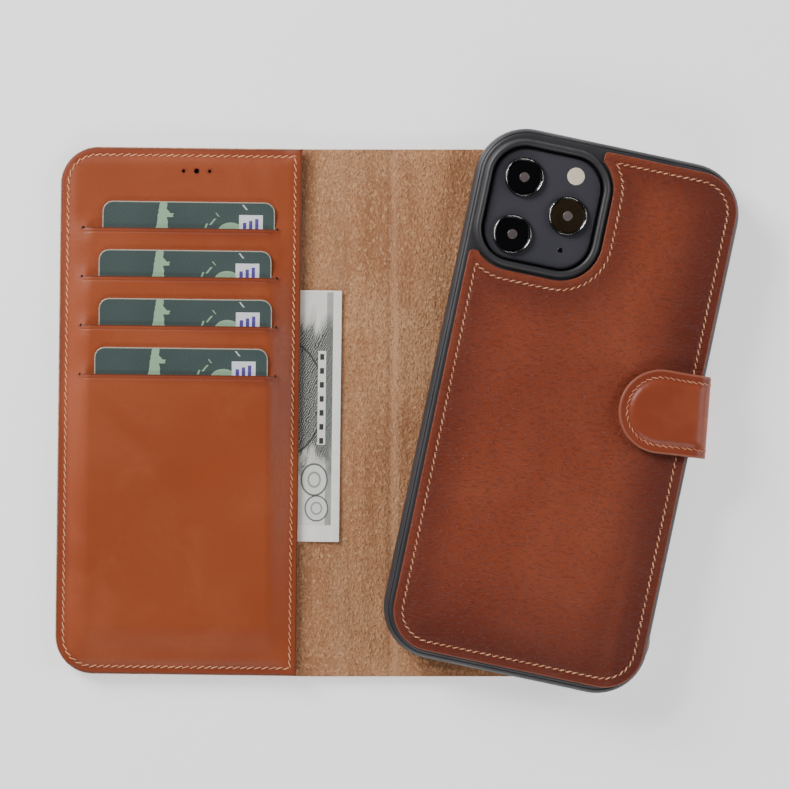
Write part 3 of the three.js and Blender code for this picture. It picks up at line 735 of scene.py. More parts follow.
def front_shape(points):
    """Carries points left of the front fold, drawn square to the rear cover, to where the turned cover lies."""
    points = np.array(points, float)
    x, y = points[:, 0] - FRONT_FOLD[0], points[:, 1] - FRONT_FOLD[1]
    angle = FRONT.angle * smooth(-x / TURN_REACH)
    points[:, 0] = x * np.cos(angle) - y * np.sin(angle) + FRONT_FOLD[0]
    points[:, 1] = x * np.sin(angle) + y * np.cos(angle) + FRONT_FOLD[1]
    return points


def away_from_seam(middles):
    return np.abs(middles[:, 0] - SPINE_MIDDLE) > 0.05


REAR_LOOP = rounded(SPINE_MIDDLE, -FOLIO_TOP, REAR_HIGH[0], FOLIO_TOP, 0, FOLIO_CORNER, FOLIO_CORNER, 0)
FRONT_LOOP = rounded(FRONT_FOLD[0] + FRONT_LEFT, -FOLIO_TOP, SPINE_MIDDLE, FOLIO_TOP,
                     FOLIO_CORNER, 0, 0, FOLIO_CORNER)
LINING_BASE = OUTER_TOP + 0.12
PRESSED = 0.55


def lining_height(flat, distance):
    """The suede's top: pressed thin at the sewn edges, low over the spine and raised over the boards."""
    x = flat[:, 0]
    over_board = smooth((x - BOARD_EDGE + 0.9) / 1.8)
    front_board = smooth((FRONT_FOLD[0] - 3.0 - x) / 1.8)
    raised = np.maximum(over_board, front_board)
    ripple = 0.05 * np.sin(flat[:, 1] / 9.0 + x * 0.35) * np.sin(x / 4.1)
    height = LINING_TOP - 0.5 + 0.5 * raised + ripple * (1 - raised)
    return height - groove(x - BOARD_EDGE, -0.5, 0.8, 0.22) - PRESSED * (1 - smooth(distance / 2.6)) * raised


SEAM_INSET = 2.3
SEAM_DEPTH = 0.27


def front_underside(flat, distance):
    """The outer leather's table side, with the sewn line pressed in round the front cover."""
    sewn = smooth((FRONT_FOLD[0] - 5.0 - flat[:, 0]) / 2.0)
    return groove(distance, SEAM_INSET, 0.6, SEAM_DEPTH) * sewn


def build_outer_seam():
    """The panel's seam comes out on the table side of the front cover, in a pressed line."""
    corner = FOLIO_CORNER - SEAM_INSET
    end = -7.0
    top = FOLIO_TOP - SEAM_INSET
    left = FRONT_LEFT + SEAM_INSET
    path = np.concatenate([
        [[end, top]], arc(left + corner, top - corner, corner, 90, 180),
        arc(left + corner, corner - top, corner, 180, 270), [[end, -top]],
    ])

    def recessed(flat):
        return np.full(len(flat), -SEAM_DEPTH)

    def turned_over(points):
        return points * (1, 1, -1)

    seam = stitches("front_cover_outer_seam", path, THREAD, FRONT, 2.25, recessed, bend=turned_over, tick=0)
    belongs(seam, "front_cover", "outer_leather")


def flat_at(height):
    return lambda flat, distance: np.full(len(flat), height)


def build_folio():
    layers = (("hide", "outer_leather", HIDE_LEATHER, flat_at(OUTER_TOP), 0.5, 2.2),
              ("lining", "suede_lining", SUEDE, lining_height, 0.25, 1.5))
    sides = (("rear", REAR_LOOP, None, REAR_FOLD, ("spine", "rear_cover"), ("rear", "spine")),
             ("front", FRONT_LOOP, front_shape, FRONT_FOLD, ("front_cover", "spine"), ("front",)))
    for layer, kind, material, top, rounding, spacing in layers:
        for side, loop, bend, fold, bodies, covered in sides:
            if layer == "lining":
                bottom = flat_at(LINING_BASE)
            else:
                bottom = flat_at(0.0) if side == "rear" else front_underside
            piece = sheet(f"{side}_{layer}", loop, material, WORLD, top, bottom, rounding, spacing, away_from_seam,
                          bend, step=1.2, rings=(0.9, 1.6, 2.4))
            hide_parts(*(f"{part}_{kind}" for part in covered))
            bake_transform(piece)


# ---- card panel ------------------------------------------------------------------------------
PANEL_LOW, PANEL_HIGH = FRONT.local_box("card_panel")
BACKING_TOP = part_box("pocket_backing")[1].z / MM
CARD_SHOWING = 8.4
CARD_THICK = 0.76
CARD_HALF_X, CARD_HALF_Y = 27, 42.8
SKIN = 0.7
PLAY = 0.1
EDGE_HEIGHT = 0.9
SLIT_HALF = 30.0
SLIT_END = 1.3
SLIT_CLOSING = 3.2
SLIT_BLEND = 5.0                    # reach of the smooth step beside a slit's ends
PANEL_SEAM = 2.2                    # the panel's stitch line, from its edge
PANEL_CORNER = FOLIO_CORNER - 0.6
CARDS = []
for number in range(1, 5):
    low, high = FRONT.local_box(f"card_{number}")
    axis = JOINTS[f"card_{number}_slide"]["axis"]
    CARDS.append({
        "low": low, "high": high,
        "slope": axis[2] / math.hypot(axis[0], axis[1]),
        "slit": high[1] - CARD_SHOWING,
    })
SLIT_CENTRE = float(np.mean([(card["low"][0] + card["high"][0]) / 2 for card in CARDS])) - 1.95


def card_top(card, y):
    """The height of a card's upper face at y."""
    return card["high"][2] + card["slope"] * (y - card["high"][1])


def strip_height(index, y):
    """Top of the leather strip below slit number index, or of the flat strip above the first slit."""
    if index == 0:
        return np.full_like(y, BACKING_TOP + 0.05 + SKIN)
    return card_top(CARDS[index - 1], y) + PLAY + SKIN


PANEL_LOOP = resample(rounded(*PANEL_LOW[:2], *PANEL_HIGH[:2], PANEL_CORNER, 0.6, 0.6, PANEL_CORNER), 1.5)


def panel_height(flat, index):
    """The panel's upper surface at points of strip number index."""
    x, y = flat[:, 0], flat[:, 1]
    own = strip_height(index, y)
    blended = own.copy()
    for number, card in enumerate(CARDS):
        above = strip_height(number, y)
        below = strip_height(number + 1, y)
        near = np.abs(y - card["slit"]) < SLIT_BLEND
        joined = above + (below - above) * smooth((card["slit"] + SLIT_BLEND - y) / (2 * SLIT_BLEND))
        blended = np.where(near, joined, blended)
    sideways = smooth((np.abs(x - SLIT_CENTRE) - SLIT_HALF + SLIT_CLOSING) / SLIT_CLOSING)
    height = own + (blended - own) * sideways
    distance = loop_distance(flat, PANEL_LOOP)
    rim_base = BACKING_TOP + 0.05 + EDGE_HEIGHT
    from_left = smooth((x - PANEL_LOW[0] - 1.0) / 9.5)
    from_right = smooth((PANEL_HIGH[0] - 0.8 - x) / 9.5)
    from_bottom = smooth((y - PANEL_LOW[1] - 2.0) / 14.0)
    raised = from_left * from_right * from_bottom
    height = rim_base + (np.maximum(height, rim_base - 0.2) - rim_base) * raised
    sewn = np.minimum.reduce([x - PANEL_LOW[0], y - PANEL_LOW[1], PANEL_HIGH[1] - y])
    height -= 0.95 * (1 - smooth(sewn / 5.5)) * smooth((PANEL_HIGH[0] - x) / 6.0)
    crease = np.zeros_like(height)
    for card in CARDS:
        line = groove(y - card["slit"], -1.35, 0.16, 0.12) - groove(y - card["slit"], -0.9, 0.25, 0.04)
        crease = crease + line * (1 - smooth((np.abs(x - SLIT_CENTRE) - SLIT_HALF + 1) / 2.0))
    return height - groove(distance, PANEL_SEAM, 0.55, 0.16) - crease - round_over(distance, 0.35)


def strip_rows(index):
    """Row positions from a strip's upper edge to its lower one, closer together beside the slits."""
    upper = PANEL_HIGH[1] if index == 0 else CARDS[index - 1]["slit"]
    lower = PANEL_LOW[1] if index == len(CARDS) else CARDS[index]["slit"]
    near_top = [0, 0.12, 0.35, 0.7, 1.0, 1.2, 1.35, 1.5, 1.7, 1.9, 2.2, 2.8]
    near_bottom = [2.4, 1.6, 0.9, 0.4, 0.12, 0]
    start, end = near_top[-1], upper - lower - near_bottom[0]
    middle = np.linspace(start, end, max(2, int((end - start) / 0.95)))[1:-1]
    down = np.concatenate([near_top, middle, upper - lower - np.array(near_bottom)])
    return upper - down


def panel_columns():
    left, right = PANEL_LOW[0], PANEL_HIGH[0]
    ends = [SLIT_CENTRE - SLIT_HALF, SLIT_CENTRE + SLIT_HALF]
    marks = [left, left + 0.12, left + 0.35]
    for side, end in zip((-1, 1), ends):
        marks += [end - side * d for d in (3.2, 2.6, 2.1, 1.6, 1.2, 0.8, 0.4, 0.0, -0.6, -SLIT_END)]
    marks += [right - 0.35, right - 0.12, right]
    spread = np.linspace(left, right, 84)
    free = [x for x in spread if min(abs(x - m) for m in marks) > 0.4]
    return np.array(sorted(marks + free))


def squeeze_corners(flat):
    """Draws the grid's square left corners in to the panel's round ones."""
    result = flat.copy()
    for sign, edge in ((-1, PANEL_LOW[1]), (1, PANEL_HIGH[1])):
        centre = np.array([PANEL_LOW[0] + PANEL_CORNER, edge - sign * PANEL_CORNER])
        offset = result - centre
        square = (offset[:, 0] < 0) & (offset[:, 1] * sign > 0)
        reach = np.maximum(np.abs(offset[:, 0]), np.abs(offset[:, 1]))
        size = np.maximum(np.hypot(offset[:, 0], offset[:, 1]), 1e-9)
        pull = np.where(square, reach / size, 1.0)
        result = centre + offset * pull[:, None]
    return result


def build_panel():
    columns = panel_columns()
    width = len(columns)
    vertices, faces, edges = [], [], []
    start_of = []
    for index in range(len(CARDS) + 1):
        rows = strip_rows(index)
        grid = np.array([[x, y] for y in rows for x in columns])
        flat = squeeze_corners(grid)
        height = panel_height(flat, index)
        start = len(vertices)
        start_of.append(start)
        vertices.extend(np.column_stack([flat, height]).tolist())
        edge = loop_distance(flat, PANEL_LOOP)
        if index:
            beside = np.abs(flat[:, 0] - SLIT_CENTRE) < SLIT_HALF + SLIT_END
            from_slit = np.abs(flat[:, 1] - CARDS[index - 1]["slit"]) + 0.02
            edge = np.where(beside, np.minimum(edge, from_slit), edge)
        edges.extend(edge.tolist())
        for row in range(len(rows) - 1):
            for column in range(width - 1):
                a = start + row * width + column
                faces.append((a, a + width, a + width + 1, a + 1))
    weld = {start + column: start - width + column for start in start_of[1:]
            for column, x in enumerate(columns) if abs(x - SLIT_CENTRE) >= SLIT_HALF - 0.01}
    faces = [tuple(weld.get(i, i) for i in face) for face in faces]
    used = sorted(set(i for face in faces for i in face))
    renumber = {old: new for new, old in enumerate(used)}
    faces = [tuple(renumber[i] for i in face) for face in faces]
    attributes = {"edge": np.array(edges)[used] * MM}
    piece = build("card_panel_leather", np.array(vertices)[used], faces, PANEL_LEATHER, FRONT, attributes)
    punch_earpiece(piece)
    solid = piece.modifiers.new("thickness", "SOLIDIFY")
    solid.thickness = (SKIN - 0.04) * MM
    solid.offset = -1
    applied(piece)
    smooth_by_angle(piece, 50)
    belongs(piece, "front_cover", "panel_leather", "card_panel")


EARPIECE = [(-39.5 + hole * 4.1, 75.4) for hole in (-1, 0, 1)]


def punch_earpiece(piece):
    """Cuts the three small sound holes near the top edge."""
    work = bmesh.new()
    work.from_mesh(piece.data)
    for (x, y), radius in zip(EARPIECE, (0.5, 0.8, 0.5)):
        centre = FRONT.out([[x, y, 0]])[0] * MM
        near = [f for f in work.faces if (f.calc_center_median().xy - Vector(centre[:2])).length < 0.0016]
        hole_patch(work, near, centre, radius * MM)
    work.to_mesh(piece.data)
    work.free()


def hole_patch(work, near, centre, radius):
    """Replaces a patch of faces by the same patch with a round hole in it."""
    boundary = [e for f in near for e in f.edges if sum(g in near for g in e.link_faces) == 1]
    height = sum(f.calc_center_median().z for f in near) / len(near)
    bmesh.ops.delete(work, geom=near, context="FACES_ONLY")
    boundary = [e for e in boundary if e.is_valid]
    rim = [work.verts.new((*point, height)) for point in circle(centre[0], centre[1], radius, 16)]
    ring = [work.edges.new(pair) for pair in zip(rim, rim[1:] + rim[:1])]
    bmesh.ops.bridge_loops(work, edges=boundary + ring)
    loose = [v for v in work.verts if not v.link_faces]
    bmesh.ops.delete(work, geom=loose, context="VERTS")


def discs(name, centres, radius, material, place):
    """Small shallow discs in one mesh, each centre a point (x, y, z)."""
    vertices, faces, sides = [], [], 20
    for x, y, z in centres:
        faces += tube_faces(len(vertices), 3, sides)
        for reach, height in ((radius, 0.0), (radius, 0.03), (radius * 0.8, 0.045)):
            vertices += [(*point, z + height) for point in circle(x, y, reach, sides)]
    return fix_normals(build(name, vertices, faces, material, place))


def build_holes():
    """Painted shade: dark discs under the three sound holes and on the punched ends of the slits, where the holes'
    insides are in shade.
    """
    sound = [(x, y, BACKING_TOP + 0.01) for x, y in EARPIECE]
    ends = []
    for card in CARDS:
        for side in (-1, 1):
            point = np.array([[SLIT_CENTRE + side * (SLIT_HALF + 0.35), card["slit"] - 0.1]])
            ends.append((*point[0], panel_surface(point)[0] - 0.01))
    for name, centres, radius in (("sound_hole_shade", sound, 1.1), ("slit_end_hole_shade", ends, 0.5)):
        piece = discs(name, centres, radius, HOLE_SHADE, FRONT)
        belongs(piece, "front_cover", "panel_leather")


def panel_surface(flat):
    """Height of the panel under a stitch path."""
    result = np.zeros(len(flat))
    index = sum((flat[:, 1] < card["slit"]).astype(int) for card in CARDS)
    for number in range(len(CARDS) + 1):
        rows = index == number
        if rows.any():
            result[rows] = panel_height(flat[rows], number)
    return result


def build_panel_stitches():
    corner = PANEL_CORNER - PANEL_SEAM
    loop = rounded(PANEL_LOW[0] + PANEL_SEAM, PANEL_LOW[1] + PANEL_SEAM, PANEL_HIGH[0] - 2.0,
                   PANEL_HIGH[1] - PANEL_SEAM, corner, 0.5, 0.5, corner)
    piece = stitches("card_panel_stitching", loop, THREAD, FRONT, 2.25, panel_surface, closed=True,
                     slant=0.13, tick=0.5)
    belongs(piece, "front_cover", "panel_leather")


def build_backing():
    low, high = FRONT.local_box("pocket_backing")
    loop = rounded(low[0] + 3, low[1] + 3, high[0], high[1] - 3, FOLIO_CORNER - 3, 0.3, 0.3, FOLIO_CORNER - 3)
    piece = sheet("pocket_backing_suede", loop, SUEDE, FRONT, flat_at(high[2]), flat_at(low[2]), 0.15, 4.0)
    belongs(piece, "front_cover", "suede", "pocket_backing")


# ---- cards and banknote ------------------------------------------------------------------------
CARD_TOP = CARD_HALF_Y * MM
CARD_MARKS = (                      # x, distance below the upper edge, lean, half width, half height
    (-0.0068, 0.0036, -0.9, 0.0010, 0.0012), (-0.0058, 0.0043, 0.6, 0.0008, 0.0006),
    (0.0075, 0.0062, 0.8, 0.0003, 0.0010), (0.0090, 0.0040, -0.8, 0.0002, 0.0006),
    (0.0055, 0.0075, 0.4, 0.0003, 0.0007),
)


def card_material(number):
    """Laminated dark green card: pale figure band, white panel with plain bars, pale rim."""
    look = Look(f"card_print_{number}", 0.3, 0.0, 0.5)
    where = look.rest()
    x, y, _ = look.split(where)
    green = srgb(150, 184, 152)
    colour = look.mix(look.span(look.noise(where, 30.0, 3.0), 0.35, 0.65), srgb(68, 81, 79), srgb(75, 88, 86))
    lines = look.wave(look.rest(shift=(0.03, -0.05, 0)), 260.0, 3.0, wave_type="RINGS", rings_direction="Z")
    colour = look.mix(look.span(lines, 0.6, 1.0, 0.0, 0.12), colour, srgb(90, 108, 104))

    def window(left, right, low, high):
        return look.times(look.band(x, left, right), look.band(y, CARD_TOP - low, CARD_TOP - high))

    def slanted(left, down, lean, half_x, half_y):
        """A slanting mark."""
        away = look.minus(y, CARD_TOP - down)
        shifted = look.apart(look.minus(x, left), look.times(away, lean))
        return look.times(look.below(shifted, half_x), look.below(look.math("ABSOLUTE", away), half_y))

    ragged = look.times(look.minus(look.noise(where, 500.0, 2.0), 0.5), 0.0012)
    stem = look.apart(look.plus(look.plus(x, ragged), 0.0101), look.times(y, 0.05))
    widening = look.plus(look.times(look.minus(CARD_TOP, y), 0.08), 0.0011)
    colour = look.mix(look.below(stem, widening), colour, green)
    for mark in CARD_MARKS:
        colour = look.mix(slanted(*mark), colour, green)
    dome = look.oval(look.minus(x, 0.0132), look.minus(y, CARD_TOP - 0.0092), 0.0040, 0.0028)
    colour = look.mix(look.below(dome, 1.0), colour, green)
    colour = look.mix(window(0.0158, 0.0232, 0.0120, 0.0040), colour, srgb(232, 232, 240))
    for bar in range(3):
        start = 0.0170 + bar * 0.0019
        bar_shape = window(start, start + 0.0011, 0.0115, 0.0064 - bar * 0.0006)
        colour = look.mix(bar_shape, colour, srgb(92, 80, 152))
    colour = look.mix(slanted(0.0176, 0.0016, -0.8, 0.00028, 0.0008), colour, srgb(200, 208, 204))
    rim = look.span(look.attribute("edge"), 0.00022, 0.0004, 1.0, 0.0)
    look.colour(look.mix(rim, colour, srgb(176, 170, 156)))
    look.bump(look.noise(where, 2200.0, 2.0), 0.1, 0.00002)
    look.shader.inputs["Coat Weight"].default_value = 0.25
    return look.material


def tilted(card):
    """Carries a flat card, drawn about its centre, onto its sloping place in the front cover's frame."""
    centre_x = (card["low"][0] + card["high"][0]) / 2
    slope = math.atan(card["slope"])

    def bend(points):
        x, y, z = points.T
        below_top = y - CARD_HALF_Y
        run = below_top * math.cos(slope) - z * math.sin(slope)
        rise = below_top * math.sin(slope) + z * math.cos(slope)
        return np.stack([x + centre_x, run + card["high"][1], rise + card["high"][2]], 1)
    return bend


def build_cards():
    for number, card in enumerate(CARDS, 1):
        loop = rounded(-CARD_HALF_X, -CARD_HALF_Y, CARD_HALF_X, CARD_HALF_Y, *[3.18] * 4)
        piece = sheet(f"bank_card_{number}", loop, card_material(number), FRONT, flat_at(0.0), flat_at(-CARD_THICK),
                      0.2, 5.0, bend=tilted(card), step=0.6, rings=(0.45, 0.8))
        belongs(piece, f"card_{number}", "card", f"card_{number}")


NOTE_LOW, NOTE_HIGH = FRONT.local_box("banknote")


NOTE_OVALS = (                      # distance from the right edge, from the lower edge, half width, half height
    (0.0080, 0.0195, 0.0041, 0.0050), (0.0072, 0.0105, 0.0036, 0.0040), (0.0190, 0.0450, 0.0140, 0.0190),
)


def note_material():
    """Printed paper: pale margin, engraved grey shading in soft shapes and plain rings, with no lettering."""
    look = Look("note_print", 0.8, 0.0, 0.2)
    where = look.rest()
    x, y, _ = look.split(where)
    inset = look.minus(NOTE_HIGH[0] * MM, x)
    up = look.minus(y, NOTE_LOW[1] * MM)
    ink, mid = srgb(58, 62, 60), srgb(112, 117, 112)
    fibre = look.span(look.noise(where, 300.0, 4.0), 0.3, 0.7)
    paper = look.mix(fibre, srgb(253, 250, 244), srgb(244, 241, 234))

    def engraved(scale, turn, distortion):
        return look.wave(look.rest(turn=turn), scale, distortion, 1.5)

    printed = look.times(look.math("GREATER_THAN", inset, 0.0026), look.band(up, 0.0052, 0.0785))
    shapes = look.noise(look.rest((1.0, 0.55, 1.0), 0.5), 95.0, 3.0, 0.55, 1.1)
    depth = look.span(look.apart(up, 0.0465), 0.012, 0.03, 0.32, -0.1)
    tone = look.span(look.plus(shapes, depth), 0.42, 0.75, 0.2, 1.0)
    curl = look.span(engraved(470.0, 0.5, 9.0), 0.35, 0.65, 0.35, 1.0)
    hatch = look.span(engraved(620.0, -0.6, 5.0), 0.4, 0.7, 0.2, 0.9)
    shade = look.times(look.times(printed, tone), look.math("MAXIMUM", curl, hatch))
    colour = look.mix(shade, paper, mid)
    colour = look.mix(look.times(shade, look.span(tone, 0.55, 1.0, 0.0, 0.8)), colour, ink)
    border = look.times(printed, look.below(inset, 0.0046))
    border = look.times(border, look.span(engraved(2600.0, 0.0, 8.0), 0.3, 0.7, 0.35, 0.9))
    colour = look.mix(border, colour, mid)
    for centre_in, centre_up, wide, tall in NOTE_OVALS:
        small = wide < 0.01
        away = look.oval(look.minus(inset, centre_in), look.minus(up, centre_up), wide, tall)
        radius = look.math("SQRT", away)
        if small:
            colour = look.mix(look.times(look.below(radius, 1.0), 0.92), colour, srgb(226, 227, 220))
            core = look.below(look.apart(radius, 0.45), 0.07)
            colour = look.mix(look.times(core, 0.7), colour, mid)
        ring = look.below(look.apart(radius, 0.98), 0.06 if small else 0.02)
        colour = look.mix(look.times(ring, 0.85), colour, ink)
    strip = look.times(look.band(inset, 0.0047, 0.0072), look.band(up, 0.0305, 0.0600))
    colour = look.mix(strip, colour, srgb(232, 232, 226))
    step = look.math("FRACT", look.math("DIVIDE", up, 0.0044))
    mark = look.times(look.below(step, 0.42), look.band(inset, 0.0053, 0.0066))
    look.colour(look.mix(look.times(mark, strip), colour, ink))
    look.bump(look.noise(where, 1600.0, 3.0), 0.25, 0.00005)
    return look.material


def build_note():
    loop = rounded(*NOTE_LOW[:2], *NOTE_HIGH[:2], *[0.1] * 4)

    def top(flat, distance):
        return np.full(len(flat), NOTE_HIGH[2]) + 0.03 * np.sin(flat[:, 1] / 7.0)

    piece = sheet("folded_banknote", loop, note_material(), FRONT, top, flat_at(NOTE_LOW[2] - 0.02), 0.06, 2.5)
    belongs(piece, "banknote", "note_paper", "banknote")
    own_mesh(piece)


# ---- strap -----------------------------------------------------------------------------------
STRAP_LOW, STRAP_HIGH = STRAP.local_box("strap_tip_leather")
STRAP_THICK = 2.05
STRAP_SEAM = 2.5
STRAP_HALF = (STRAP_HIGH[1] - STRAP_LOW[1]) / 2
STRAP_REACH = -STRAP_LOW[0]
LOWER_RADIUS = 3.4
UPPER_RADIUS = 4.2
STRAP_ROOT = 27.0
# Distances along the strap: the starts of the lower bend, side, upper bend and tip, and the tip's end.
S_LOWER = STRAP_ROOT - LOWER_RADIUS
S_SIDE = S_LOWER + LOWER_RADIUS * math.pi / 2
S_UPPER = S_SIDE + STRAP_TOP - LOWER_RADIUS - UPPER_RADIUS
S_TIP = S_UPPER + UPPER_RADIUS * math.pi / 2
S_END = S_TIP + STRAP_REACH - UPPER_RADIUS
S_SPLIT = (S_SIDE + S_UPPER) / 2
FOLD_LEAN = 0.062                   # how far the folds lean with the case's edge, per mm of width


def strap_bend(points):
    """Wraps a flat strap, (length, width, height over its outer face), round the case's edge.

    The strap's own frame has its outer side at X = 0, the table at Z = 0.
    """
    s, v, height = points.T
    lower_angle, upper_angle = (s - S_LOWER) / LOWER_RADIUS, (s - S_UPPER) / UPPER_RADIUS
    lower, upper = LOWER_RADIUS + height, UPPER_RADIUS + height
    sections = [s < S_LOWER, s < S_SIDE, s < S_UPPER, s < S_TIP]
    u = np.select(sections, [s - STRAP_ROOT, lower * np.sin(lower_angle) - LOWER_RADIUS, height,
                             upper * np.cos(upper_angle) - UPPER_RADIUS], S_TIP - UPPER_RADIUS - s)
    z = np.select(sections, [-height, LOWER_RADIUS - lower * np.cos(lower_angle), LOWER_RADIUS + s - S_SIDE,
                             STRAP_TOP - UPPER_RADIUS + upper * np.sin(upper_angle)], STRAP_TOP + height)
    near_fold = smooth((s - S_LOWER) / (S_SIDE - S_LOWER)) * smooth((S_TIP + 14.0 - s) / 14.0)
    u = u - (0.3 + FOLD_LEAN * v) * near_fold
    return np.stack([u, v * (1 - 0.025 * near_fold), z], 1)


strap_outline = np.concatenate([
    [[0, -STRAP_HALF], [S_END - STRAP_HALF, -STRAP_HALF]],
    arc(S_END - STRAP_HALF, 0, STRAP_HALF, -90, 90, 0.6)[1:-1],
    [[S_END - STRAP_HALF, STRAP_HALF], [0, STRAP_HALF]],
])


def strap_surface(flat, distance=None):
    """Outer face of the strap: flat at the sewn border, with a raised pad over the magnet."""
    if distance is None:
        distance = loop_distance(flat, resample(strap_outline, 0.8))
    pad = smooth((distance - 3.0) / 1.3) * smooth((flat[:, 0] - S_TIP + 4.0) / 5.0)
    return 0.8 * pad - groove(distance, STRAP_SEAM, 0.5, 0.16)


def build_strap():
    end_x = S_END - STRAP_HALF
    lower_loop = rounded(0, -STRAP_HALF, S_SPLIT, STRAP_HALF, 0, 0, 0, 0)
    upper_loop = np.concatenate([
        [[S_SPLIT, -STRAP_HALF], [end_x, -STRAP_HALF]],
        arc(end_x, 0, STRAP_HALF, -90, 90, 0.6)[1:-1],
        [[end_x, STRAP_HALF], [S_SPLIT, STRAP_HALF]],
    ])

    def sewn(middles):
        return (np.abs(middles[:, 0] - S_SPLIT) > 0.05) & (middles[:, 0] > 0.05)

    lower = sheet("strap_lower_leather", trimmed_root(lower_loop), STRAP_LEATHER, STRAP, strap_surface,
                  flat_at(-STRAP_THICK), 0.35, 1.1, sewn, strap_bend, 0.7, (1.2, 2.0))
    upper = sheet("strap_upper_leather", upper_loop, STRAP_LEATHER, STRAP, strap_surface,
                  flat_at(-STRAP_THICK), 0.35, 1.0, sewn, strap_bend, 0.6, (1.0, 1.7, 2.3, 2.9, 3.6))
    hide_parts("strap_base", "strap_side_lining")
    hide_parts("strap_side_leather", "strap_tip_leather", "strap_tip_lining")
    line = STRAP_HALF - STRAP_SEAM
    around = arc(end_x, 0, line, -90, 90, 0.5)
    rows = (
        ("strap_lower_stitching_1", False, [[S_LOWER + 2.6, -line], [S_SPLIT, -line]]),
        ("strap_lower_stitching_2", False, [[S_LOWER + 2.6, line], [S_SPLIT, line]]),
        ("strap_upper_stitching_1", True, np.concatenate([[[S_SPLIT, -line]], around, [[S_SPLIT, line]]])),
    )
    pieces = [(stitches(name, path, DARK_THREAD, STRAP, 1.9, strap_surface, slant=0.12, bend=strap_bend,
                        tick=0.45),
               is_upper) for name, is_upper, path in rows]
    for piece, is_upper in (*pieces, (lower, False), (upper, True)):
        join_strap(piece)


def trimmed_root(loop):
    """The strap's hidden root ends square with the rear cover's edge, not with the strap."""
    result = loop.copy()
    for index, (s, v) in enumerate(loop):
        if s < 1:
            edge = STRAP.into([[REAR_HIGH[0] + 0.25, STRAP.origin[1] + v, 0]])[0]
            result[index, 0] = STRAP_ROOT + edge[0]
    return result


def join_strap(piece):
    """Bakes the strap piece's placement into its mesh."""
    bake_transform(piece)


# ---- phone case ------------------------------------------------------------------------------
SHELL_HIGH = CASE.local_box("case_shell")[1]
PLATEAU_LOW, PLATEAU_HIGH = CASE.local_box("camera_plateau")
BACK_LOW, BACK_HIGH = CASE.local_box("case_back_leather")
CASE_CORNER = 16.0
PLATEAU_CORNER = 9.5
RIM_GAP = 0.7
RIM_WALL = 2.0
RIM_HEIGHT = SHELL_HIGH[2]


def ring_points(x0, y0, x1, y1, radius, inset, per_corner=14, per_side=10):
    """One loft ring: a rounded rectangle drawn in by inset, always with the same number of points."""
    radius = max(radius - inset, 0.6)
    x0, y0, x1, y1 = x0 + inset, y0 + inset, x1 - inset, y1 - inset
    corners = [(x1 - radius, y0 + radius, -90), (x1 - radius, y1 - radius, 0),
               (x0 + radius, y1 - radius, 90), (x0 + radius, y0 + radius, 180)]
    points = []
    for index, (cx, cy, start) in enumerate(corners):
        angles = np.radians(np.linspace(start, start + 90, per_corner))
        curve = np.stack([cx + radius * np.cos(angles), cy + radius * np.sin(angles)], 1)
        points.append(curve)
        nx, ny, next_start = corners[(index + 1) % 4]
        angle = math.radians(next_start)
        target = np.array([nx + radius * math.cos(angle), ny + radius * math.sin(angle)])
        steps = np.linspace(0, 1, per_side)[1:-1]
        points.append(curve[-1] + steps[:, None] * (target - curve[-1]))
    return np.concatenate(points)


def loft(name, rings, material, place, closed=False):
    """Skins rings of (points, height). Ends are capped unless the last ring meets the first."""
    vertices, faces = [], []
    size = len(rings[0][0])
    for points, height in rings:
        vertices.extend([(x, y, height) for x, y in points])
    pairs = list(range(len(rings) - 1))
    total = len(rings)
    if closed:
        pairs.append(total - 1)
    for index in pairs:
        first, second = index * size, ((index + 1) % total) * size
        for side in range(size):
            after = (side + 1) % size
            faces.append((first + side, first + after, second + after, second + side))
    if not closed:
        for start in (0, (total - 1) * size):
            centre = len(vertices)
            middle = np.mean(vertices[start:start + size], 0)
            vertices.append(tuple(middle))
            for side in range(size):
                faces.append((start + side, start + (side + 1) % size, centre))
    return fix_normals(build(name, vertices, faces, material, place))


def prism(outline, near, far, turned):
    """A cutter: an outline that runs from near to far; turned maps (along, across, height) to local points."""
    points = [turned(along, a, b) for along in (near, far) for a, b in outline]
    return fix_normals(build("cutter", points, tube_faces(0, 2, len(outline)), SHELL, CASE))


def cut(piece, cutter):
    """Takes the cutter's shape out of the piece and removes the cutter."""
    modifier = piece.modifiers.new("cut", "BOOLEAN")
    modifier.object = cutter
    modifier.operation = "DIFFERENCE"
    modifier.solver = "EXACT"
    applied(piece)
    bpy.data.objects.remove(cutter)


def set_rest(piece, place):
    """Writes the rest position again after the mesh was rebuilt."""
    write_rest(piece.data, place.into(mesh_points(piece.data) / MM) * MM)


def smooth_by_angle(piece, degrees):
    piece.data.shade_smooth()
    work = bmesh.new()
    work.from_mesh(piece.data)
    for edge in work.edges:
        if len(edge.link_faces) == 2 and edge.calc_face_angle(0) > math.radians(degrees):
            edge.smooth = False
    work.to_mesh(piece.data)
    work.free()


